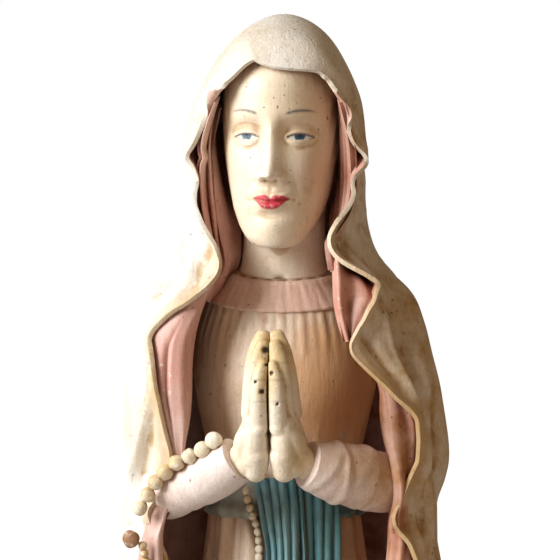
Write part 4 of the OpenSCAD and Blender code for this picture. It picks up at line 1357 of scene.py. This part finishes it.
# little finger to first finger: knuckle, middle joint and tip, for the figure's left hand
fingerLines = [
    [(2.9, -43.6, 279.5), (2.8, -46.0, 287), (2.5, -46.2, 293.4), (1.5, -45.4, 298.4)],
    [(3.9, -41.0, 281.5), (3.8, -43.4, 291), (3.1, -43.6, 298.4), (1.8, -42.8, 304.2)],
    [(4.6, -37.4, 283), (4.3, -39.6, 293), (3.4, -40.0, 301.0), (1.9, -39.6, 306.8)],
    [(4.7, -33.8, 283), (4.4, -35.8, 292), (3.4, -36.6, 299), (1.9, -36.4, 304.2)],
]
fingerRadii = [(2.4, 2.2, 1.95, 1.35), (2.6, 2.35, 2.1, 1.45), (2.8, 2.4, 2.15, 1.5), (2.7, 2.3, 2.1, 1.5)]
fingerWidths = [1.15, 1.4, 1.55, 1.6]
# palm, heel of the hand, its outer edge, thumb, and the wrist going into the sleeve
palmParts = [
    ([(6.4, -38.5, 268.8), (4.8, -38.8, 274), (4.2, -39, 281)], (4.6, 5.2, 4.2)),
    ([(4.2, -39.6, 266.6), (4.0, -41.2, 271)], (3.6, 4.2)),
    ([(4.8, -41.2, 270), (4.2, -42.0, 276), (4.6, -42.4, 281)], (3.6, 3.9, 3.0)),
    ([(6.0, -34, 271), (4.4, -31.4, 278), (3.2, -31, 286), (2.3, -31.6, 291)], (3.6, 3.1, 2.4, 1.8)),
    ([(13.5, -33.0, 266.0), (10.0, -36.0, 268.5), (7.4, -38.0, 271)], (4.6, 4.5, 4.6)),
]
# pits in the plaster: x, height and radius
pitPlaces = [(-0.9, 302.6, 1.0), (-1.6, 290.6, 0.8), (1.3, 296, 0.6), (-3.4, 293.4, 0.5), (3.1, 287, 0.5),
             (-0.4, 298.4, 0.5)]


def makeHand(side, name, node):
    def s(p):
        return (side * p[0], p[1], p[2])

    parts = []
    for line, radii, wide in zip(fingerLines, fingerRadii, fingerWidths):
        parts.append(limb([s(p) for p in line], radii, flat=wide))
        # from the wrist to each knuckle, under the back of the hand
        k = line[0]
        bone = [s((7.8, -38.0, 270.5)), s((7.0, (k[1] - 38) / 2, 276)), s(k)]
        parts.append(limb(bone, (4.0, 3.9, 3.0), flat=0.85))
    for places, radii in palmParts:
        parts.append(limb([s(p) for p in places], radii))
    obj = joined(name, parts)
    remeshed(obj, handSize["voxel"], handSize["soft"])
    # the two hands meet on a plane
    p = pointsOf(obj)
    flatAt = 0.16
    inner = side * p[:, 0]
    p[:, 0] = side * np.where(inner < flatAt, flatAt + 0.02 * (inner - flatAt), inner)
    setPoints(obj, p)
    # near-black painted shade in the creases at the finger joints and in the pits
    crease = np.zeros(len(p))
    for line in fingerLines:
        for x0, y0, z0 in spline(line, np.array([1.0, 2.0])):
            near = step(np.hypot(p[:, 1] - y0, inner - x0), 3.4, 1.6)
            crease = np.maximum(crease, 0.35 * ridge(p[:, 2], z0 + 0.6, 0.35) * near)
    for x0, z0, r0 in pitPlaces:
        ragged = 1 + 0.3 * np.sin(7 * p[:, 0] + 3 * x0) * np.sin(8 * p[:, 2] + z0)
        near = np.exp(-((p[:, 0] - x0) ** 2 + (p[:, 2] - z0) ** 2) * ragged / r0**2) * (p[:, 1] < -38)
        near = step(near, 0.25, 0.6)
        crease = np.maximum(crease, near)
        p[:, 1] += 0.8 * near
    setPoints(obj, p)
    paint(obj, "crease", np.clip(crease, 0, 1))
    # the finger tips are rubbed down to ochre; the ochre in the seam between the hands and low on the outer
    # side of the hands, most on the left hand, which faces away from the key lamp, is painted shade
    seam = ridge(p[:, 0], 0, 3.2) * step(p[:, 2], 284, 292) * (p[:, 1] < -38)
    tips = step(p[:, 2], 292, 304) * 0.8 + seam
    lower = ridge(p[:, 0], side * 9, 3.5) * ridge(p[:, 2], 270, 5.5)
    paint(obj, "wearAndShade", np.clip(tips + (0.9 if side > 0 else 0.3) * lower, 0, 1))
    finishPiece(obj, [handMat], [node], 180)


makeHand(-1, "rightHand", "right_hand")
makeHand(1, "leftHand", "left_hand")
print("hands made")


sleeveSize = {"rows": 240, "around": 150, "cuff": 0.012}


def makeSleeve(name, node, line, radii, folds):
    # line runs from the cuff to the shoulder; folds are (share of the way, height, slant)
    rows, around = sleeveSize["rows"], sleeveSize["around"]
    t = np.linspace(0, len(line) - 1, rows)
    mid = spline(line, t)
    size = spline(np.array(radii, float)[:, None], t)[:, 0]
    way = np.gradient(mid, axis=0)
    way /= np.linalg.norm(way, axis=1, keepdims=True)
    up = np.array([0, 0, 1.0])[None] - way * way[:, 2:3]
    up /= np.linalg.norm(up, axis=1, keepdims=True)
    out = np.cross(way, up)
    angle = np.linspace(0, 2 * math.pi, around, endpoint=False)
    a, u = np.meshgrid(angle, np.linspace(0, 1, rows))
    r = np.repeat(size[:, None], around, 1)
    for at, tall, slant in folds:
        turn = at + slant * np.cos(a)
        r = r + tall * ridge(u, turn, 0.030) - 0.5 * tall * ridge(u, turn + 0.045, 0.028)
    r = r + 0.18 * np.sin(5 * a + 9 * u) * u
    # the cuff turns in over the wrist
    cuff = step(u, 0, sleeveSize["cuff"])
    r = r * (0.80 + 0.20 * np.sqrt(cuff))
    ring = up[:, None] * np.cos(a)[..., None] + out[:, None] * np.sin(a)[..., None]
    grid = mid[:, None] + r[..., None] * ring
    obj = gridObject(name, grid, ring=True, caps=True)
    outward(obj)
    finishPiece(obj, [sleeveMat], [node], 180)


makeSleeve("rightSleeve", "right_sleeve",
           [(-9.8, -36.4, 269.6), (-17, -33.4, 265.0), (-25.5, -28.6, 261),
            (-33, -20.5, 258.5), (-35.5, -8, 268), (-33, 3, 292)],
           [7.0, 7.8, 7.6, 7.8, 6.4, 5.5],
           [(0.26, 0.18, -0.03), (0.44, 0.3, 0.04), (0.6, 0.4, 0.02)])
makeSleeve("leftSleeve", "left_sleeve",
           [(10.6, -35.8, 268.2), (17, -31.5, 265.8), (25, -26, 263.6),
            (33, -18, 261.5), (36.4, -6, 267), (36.4, 3, 290)],
           [7.0, 8.8, 9.3, 8.6, 5.4, 3.8],
           [(0.13, 0.22, 0.06), (0.24, 0.42, -0.03), (0.33, 0.2, 0.07), (0.41, 0.42, 0.0),
            (0.52, 0.3, 0.05)])
print("sleeves made")


beadSize = {
    "large": 2.45,
    "largeGap": 4.55,
    "small": 1.4,
    "smallGap": 2.55,
    "pendantGap": 2.9,
    "boss": 2.7,
    "medal": 3.3,
}


def middleOf(node):
    # the middle of a node's box in figure units
    x, y, z = [(low + high) / 2 for low, high in zip(*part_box(node))]
    return [x / unit, y / unit, (z - rockTop) / unit]


def bead(centre, radius, rng, squash=0.92):
    bpy.ops.mesh.primitive_uv_sphere_add(segments=28, ring_count=18, radius=1)
    obj = bpy.context.active_object
    p = readAll(obj.data.vertices, "co", 3).astype(float)
    broad = np.sin(p @ rng.normal(0, 2.2, 3) + rng.uniform(0, 6))
    fine = np.sin(p @ rng.normal(0, 4, 3))
    wobble = 1 + 0.05 * broad + 0.03 * fine
    p = p * wobble[:, None] * radius * np.array([1, squash, 1]) * rng.uniform(0.95, 1.04)
    setPoints(obj, p + np.array(centre))
    return obj


def spaced(line, gap):
    dense = spline(line, np.linspace(0, len(line) - 1, 600))
    run = np.concatenate([[0], np.cumsum(np.linalg.norm(np.diff(dense, axis=0), axis=1))])
    at = np.arange(0, run[-1], gap)
    return np.stack([np.interp(at, run, dense[:, k]) for k in range(3)], axis=1)


def frontOfGown(x, z, lift):
    g = along(gownRows, np.array([z]))[0]
    angle = math.asin(max(-0.98, min(0.98, x / (g[0] + lift))))
    return gownSurface(np.array(angle), np.array(float(z)), lift + 0.6 * g[3])


def beadString(name, node, places, size, rng):
    beads = joined(name, [bead(p, size, rng) for p in places])
    finishPiece(beads, [beadMat], [node], 180)


def pressedPiece(name, node, centre, size, squash, mat, rng):
    obj = bead(centre, size, rng, squash)
    obj.name = name
    finishPiece(obj, [mat], [node], 180)


def makeRosary():
    rng = np.random.default_rng(seed)
    boss = middleOf("rosary_boss")
    medal = middleOf("rosary_medal")
    low = middleOf("rosary_pendant_beads")
    small = beadSize["small"]
    large = [(-16.8, -38.6, 275.2), (-21.6, -37.8, 271.6), (-27.1, -36.6, 268.8), (-31.0, -35.6, 266.0),
             (-34.1, -34.8, 263.0), (-36.6, -34.0, 259.0), (-39.0, -33.4, 255.6),
             (boss[0] + 1.4, -33.4, boss[2] + 5.4)]
    places = spaced(large, beadSize["largeGap"])
    beadString("rosaryLargeBeads", "rosary_large_beads", places, beadSize["large"], rng)
    pressedPiece("rosaryBoss", "rosary_boss", boss, beadSize["boss"], 0.5, bossMat, rng)
    outer = [(boss[0] + 3.2, -32.8, boss[2] - 2), (-37.6, -31.4, 236), (-37.0, -31.6, 226),
             (-34.0, -32.6, 212), (-30, -33.0, 198)]
    places = spaced(outer, beadSize["smallGap"])
    beadString("rosaryOuterStrand", "rosary_outer_strand", places, small, rng)
    inner = [frontOfGown(x, z, 1.2) for x, z in (
        (-9.2, 258), (-8.0, 253), (-5.8, 246), (-5.6, 236), (-8.6, 215), (-13, 190),
        (medal[0], medal[2] + 4.4))]
    places = spaced(inner, beadSize["smallGap"])
    beadString("rosaryInnerStrand", "rosary_inner_strand", places, small, rng)
    centre = frontOfGown(medal[0], medal[2], 1.0)
    pressedPiece("rosaryMedal", "rosary_medal", centre, beadSize["medal"], 0.4, giltMat, rng)
    places = [frontOfGown(low[0], low[2] + beadSize["pendantGap"] * k, 1.2) for k in range(-2, 3)]
    beadString("rosaryPendantBeads", "rosary_pendant_beads", places, small, rng)


def makeCrucifix():
    at = middleOf("rosary_crucifix")
    c = frontOfGown(at[0], at[2], 1.4)
    bars = []
    for w, h, up in ((1.9, 14, 0), (8, 1.9, 2.3)):
        bpy.ops.mesh.primitive_cube_add(size=1, location=place((c[0], c[1], c[2] + up)).tolist())
        bar = bpy.context.active_object
        bar.scale = (w * unit, 1.7 * unit, h * unit)
        bpy.ops.object.transform_apply(location=True, rotation=True, scale=True)
        bars.append(bar)
    obj = joined("rosaryCrucifix", bars)
    remeshed(obj, 0.25, 3)
    finishPiece(obj, [giltMat], ["rosary_crucifix"], 180)


makeRosary()
makeCrucifix()
print("rosary made")


def makeFeet():
    for side, name, node in ((-1, "rightFoot", "right_foot"), (1, "leftFoot", "left_foot")):
        instep = [(side * 11, -26, 4.6), (side * 11.6, -33, 4.6), (side * 12.2, -38, 3.2)]
        parts = [limb(instep, (4.6, 4.2, 3.0))]
        for k in range(5):
            x = side * (9.4 + 1.55 * k)
            reach = 42.6 - 0.55 * k - (0.2 if k else 0)
            toe = [(x, -36, 2.9), (x + side * 0.3 * k, -reach, 1.9)]
            parts.append(limb(toe, (1.6, 1.15 if k else 1.5)))
        obj = joined(name, parts)
        remeshed(obj, 0.35, 3)
        p = pointsOf(obj)
        p[:, 2] = np.maximum(p[:, 2], 0.2)
        setPoints(obj, p)
        for mask in ("crease", "wearAndShade"):
            paint(obj, mask, np.zeros(len(p)))
        finishPiece(obj, [handMat], [node], 180)
    roses = []
    for side in (-1, 1):
        centre = np.array((side * 12.6, -37.0, 7.4))
        for ring, count, radius, size in ((0, 6, 2.1, 1.25), (1, 5, 1.3, 1.05), (2, 1, 0, 0.95)):
            for k in range(count):
                turn = 2 * math.pi * (k + 0.5 * ring) / count
                out = (radius * math.cos(turn), radius * 0.8 * math.sin(turn) - 0.2, 0.45 * ring)
                at = centre + np.array(out)
                roses.append(limb([at, at + np.array((0, 0, 0.25))], (size, size), around=14, steps=4))
    obj = joined("footRoses", roses)
    remeshed(obj, 0.22, 2)
    finishPiece(obj, [giltMat], ["foot_roses"], 180)


# power 2 is an ellipse, more is squarer
rockSize = {"rows": 110, "around": 420, "power": 3.2, "sideShare": 0.42}


def halfSizes(node):
    # half width, half depth and full height in figure units
    low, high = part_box(node)
    return (high.x - low.x) / 2 / unit, (high.y - low.y) / 2 / unit, (high.z - low.z) / unit


def makeRock():
    w, d, tall = halfSizes("rock")
    power, sideShare = rockSize["power"], rockSize["sideShare"]
    v = np.linspace(0, 1, rockSize["rows"])
    angle = np.linspace(-math.pi, math.pi, rockSize["around"], endpoint=False)
    a, vv = np.meshgrid(angle, v)
    side = np.minimum(vv / sideShare, 1)
    topPart = np.clip((vv - sideShare) / (1 - sideShare), 0, 1)
    k = 1 / (np.abs(np.sin(a)) ** power + np.abs(np.cos(a)) ** power) ** (1 / power)
    lump = 0.5 * np.sin(7 * a + 5 * side) + 0.4 * np.sin(13 * a - 8 * side + 1)
    lump += 0.3 * np.sin(23 * a + 11 * side)
    crag = np.abs(np.sin(9 * a + 4 * side + np.sin(5 * a))) ** 0.5
    inset = 1 - 0.075 * side**2 - 0.03 * crag - 0.018 * (lump + 1) * (1 - 0.4 * side)
    shrink = 1 - topPart
    x = w * k * inset * np.sin(a) * shrink
    y = -d * k * inset * np.cos(a) * shrink
    z = -tall + tall * (0.93 * side**0.8) + 0.07 * tall * step(topPart, 0, 0.25)
    z = z + 0.35 * lump * step(side, 0.1, 0.5) * step(0.9 - topPart, 0, 0.5) - 0.5 * step(topPart, 0, 0.1)
    z = np.clip(z, -tall, -0.02)
    obj = gridObject("rockMound", np.stack([x, y, z], axis=-1), ring=True, caps=True)
    outward(obj)
    finishPiece(obj, [rockMat], ["rock"], 50)


plinthSize = {"corner": 26, "cornerShare": 0.6, "bevel": 0.7, "levels": 3}


def makePlinth():
    w, d, tall = halfSizes("plinth")
    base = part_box("plinth")[0].z - rockTop

    def outline(inset):
        c = plinthSize["corner"] - inset * plinthSize["cornerShare"]
        a, b = w - inset, d - inset
        return [(a, -b + c), (a, b - c), (a - c, b), (-a + c, b),
                (-a, b - c), (-a, -b + c), (-a + c, -b), (a - c, -b)]

    # inset and share of the height, from the felt up
    profile = [(0.15, 0), (0, 0.04), (0, 0.38), (0.5, 0.45), (2.2, 0.47), (4.0, 0.52), (4.3, 0.62),
               (4.0, 0.74), (2.6, 0.79), (2.0, 0.83), (2.0, 0.96), (2.4, 0.995)]
    rings = np.array([[(x, y, base / unit + share * tall) for x, y in outline(inset)]
                      for inset, share in profile])
    obj = gridObject("plinthBase", rings, ring=True, caps=True)
    outward(obj)
    bevel = obj.modifiers.new("Edges", "BEVEL")
    bevel.width = plinthSize["bevel"] * unit
    bevel.segments = 3
    bevel.limit_method = "ANGLE"
    bevel.angle_limit = math.radians(30)
    sub = obj.modifiers.new("Fine", "SUBSURF")
    sub.subdivision_type = "SIMPLE"
    sub.levels = plinthSize["levels"]
    sub.render_levels = plinthSize["levels"]
    applyAll(obj)
    finishPiece(obj, [mantleMat], ["plinth"], 40)


makeFeet()
makeRock()
makePlinth()
print("base made")


def roughMetal(name, tint, metal, rough):
    mat, tree, shader = newMaterial(name)
    shader.inputs["Metallic"].default_value = metal
    coord = nodeIn(tree, "ShaderNodeTexCoord").outputs["Object"]
    worn = noiseAt(tree, coord, 500, 5, 0.65).outputs["Fac"]
    fine = noiseAt(tree, coord, 2500, 3, 0.6).outputs["Fac"]
    dark = tuple(c * 0.5 for c in tint)
    colour = mixColour(tree, ramp(tree, worn, ((0.35, 0), (0.7, 1))), tint, dark)
    tree.links.new(colour, shader.inputs["Base Color"])
    amount = arithmetic(tree, "ADD", arithmetic(tree, "MULTIPLY", worn, 0.3), rough - 0.15)
    tree.links.new(amount, shader.inputs["Roughness"])
    addBump(tree, fine, shader, 0.3, 0.0004)
    return mat


steelMat = roughMetal("screwSteel", (0.50, 0.50, 0.52), 1.0, 0.35)
ironMat = roughMetal("dullIron", (0.14, 0.12, 0.11), 1.0, 0.6)
timberMat = roughMetal("battenWood", (0.50, 0.36, 0.21), 0.0, 0.7)
feltMat = roughMetal("greenFelt", (0.06, 0.11, 0.06), 0.0, 0.95)
hiddenMats = {
    "base_screw": steelMat,
    "base_washer": steelMat,
    "batten": timberMat,
    "neck_pin": ironMat,
    "wrist_pins": ironMat,
    "felt_pad": feltMat,
}
for node, mat in hiddenMats.items():
    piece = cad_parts[node]
    piece.data.materials.clear()
    piece.data.materials.append(mat)


# degrees, metres, and the width seen and the aim in figure units
viewSize = {"turn": 6.0, "rise": 4.0, "away": 2.4, "seen": 168.0, "aim": (-1.2, 0, 320.2)}
fillSize = {"strength": 0.20, "colour": (1.0, 0.70, 0.43)}
# each lamp's place in metres, its power and its colour
lamps = {
    "key": ((-0.92, -0.60, 0.84), 26.0, (1.0, 0.99, 0.98)),
    "side": ((0.8, -0.5, 0.45), 0.9, (1.0, 0.68, 0.38)),
}
lampSize = {"side": 0.7, "aimHeight": 0.30}


def cameraOnly(tree, strength):
    # a strength that only the camera sees
    seen = nodeIn(tree, "ShaderNodeLightPath").outputs["Is Camera Ray"]
    return arithmetic(tree, "MULTIPLY", seen, strength)


floorSize = {"side": 8, "pale": (0.60, 0.60, 0.60), "greyer": (0.55, 0.55, 0.55), "glow": 0.95}


def makeFloor():
    bpy.ops.mesh.primitive_plane_add(size=floorSize["side"], location=(0, 0, 0))
    floor = bpy.context.active_object
    floor.name = "floor"
    mat, tree, shader = newMaterial("paleFloor")
    coord = nodeIn(tree, "ShaderNodeTexCoord").outputs["Object"]
    cloud = noiseAt(tree, coord, 3, 2).outputs["Fac"]
    pale = mixColour(tree, cloud, floorSize["pale"], floorSize["greyer"])
    tree.links.new(pale, shader.inputs["Base Color"])
    shader.inputs["Roughness"].default_value = 0.9
    shader.inputs["Specular IOR Level"].default_value = 0.1
    shader.inputs["Emission Color"].default_value = (1, 1, 1, 1)
    tree.links.new(cameraOnly(tree, floorSize["glow"]), shader.inputs["Emission Strength"])
    floor.data.materials.append(mat)


def makeWorld():
    world = bpy.data.worlds.new("studio")
    bpy.context.scene.world = world
    world.use_nodes = True
    tree = world.node_tree
    fill = tree.nodes["Background"]
    fill.inputs["Color"].default_value = (*fillSize["colour"], 1)
    fill.inputs["Strength"].default_value = fillSize["strength"]
    white = nodeIn(tree, "ShaderNodeBackground")
    white.inputs["Color"].default_value = (1, 1, 1, 1)
    both = nodeIn(tree, "ShaderNodeMixShader")
    tree.links.new(nodeIn(tree, "ShaderNodeLightPath").outputs["Is Camera Ray"], both.inputs[0])
    tree.links.new(fill.outputs[0], both.inputs[1])
    tree.links.new(white.outputs[0], both.inputs[2])
    tree.links.new(both.outputs[0], tree.nodes["World Output"].inputs[0])


def makeLamps():
    aim = Vector((0, 0, rockTop + lampSize["aimHeight"]))
    for name, (location, power, colour) in lamps.items():
        data = bpy.data.lights.new(name, "AREA")
        data.size = lampSize["side"]
        data.energy = power
        data.color = colour
        obj = bpy.data.objects.new(name, data)
        bpy.context.scene.collection.objects.link(obj)
        obj.location = location
        obj.rotation_euler = (aim - Vector(location)).to_track_quat("-Z", "Y").to_euler()


def makeCamera():
    data = bpy.data.cameras.new("camera")
    cam = bpy.data.objects.new("camera", data)
    bpy.context.scene.collection.objects.link(cam)
    turn, rise = math.radians(viewSize["turn"]), math.radians(viewSize["rise"])
    aim = Vector(place(viewSize["aim"]).tolist())
    away = Vector((math.sin(turn) * math.cos(rise), -math.cos(turn) * math.cos(rise), math.sin(rise)))
    cam.location = aim + away * viewSize["away"]
    cam.rotation_euler = (-away).to_track_quat("-Z", "Y").to_euler()
    data.sensor_width = 36
    data.lens = data.sensor_width * viewSize["away"] / (viewSize["seen"] * unit)
    data.dof.use_dof = False
    data.clip_start = 0.01
    bpy.context.scene.camera = cam
    bpy.context.scene.view_settings.view_transform = "Standard"


makeFloor()
makeWorld()
makeLamps()
makeCamera()
print("stage made")

# paints shade, together with dirt, into the places the pieces close round
markShadeAndGrime(painted)
print("grime marked")

bpy.context.view_layer.update()
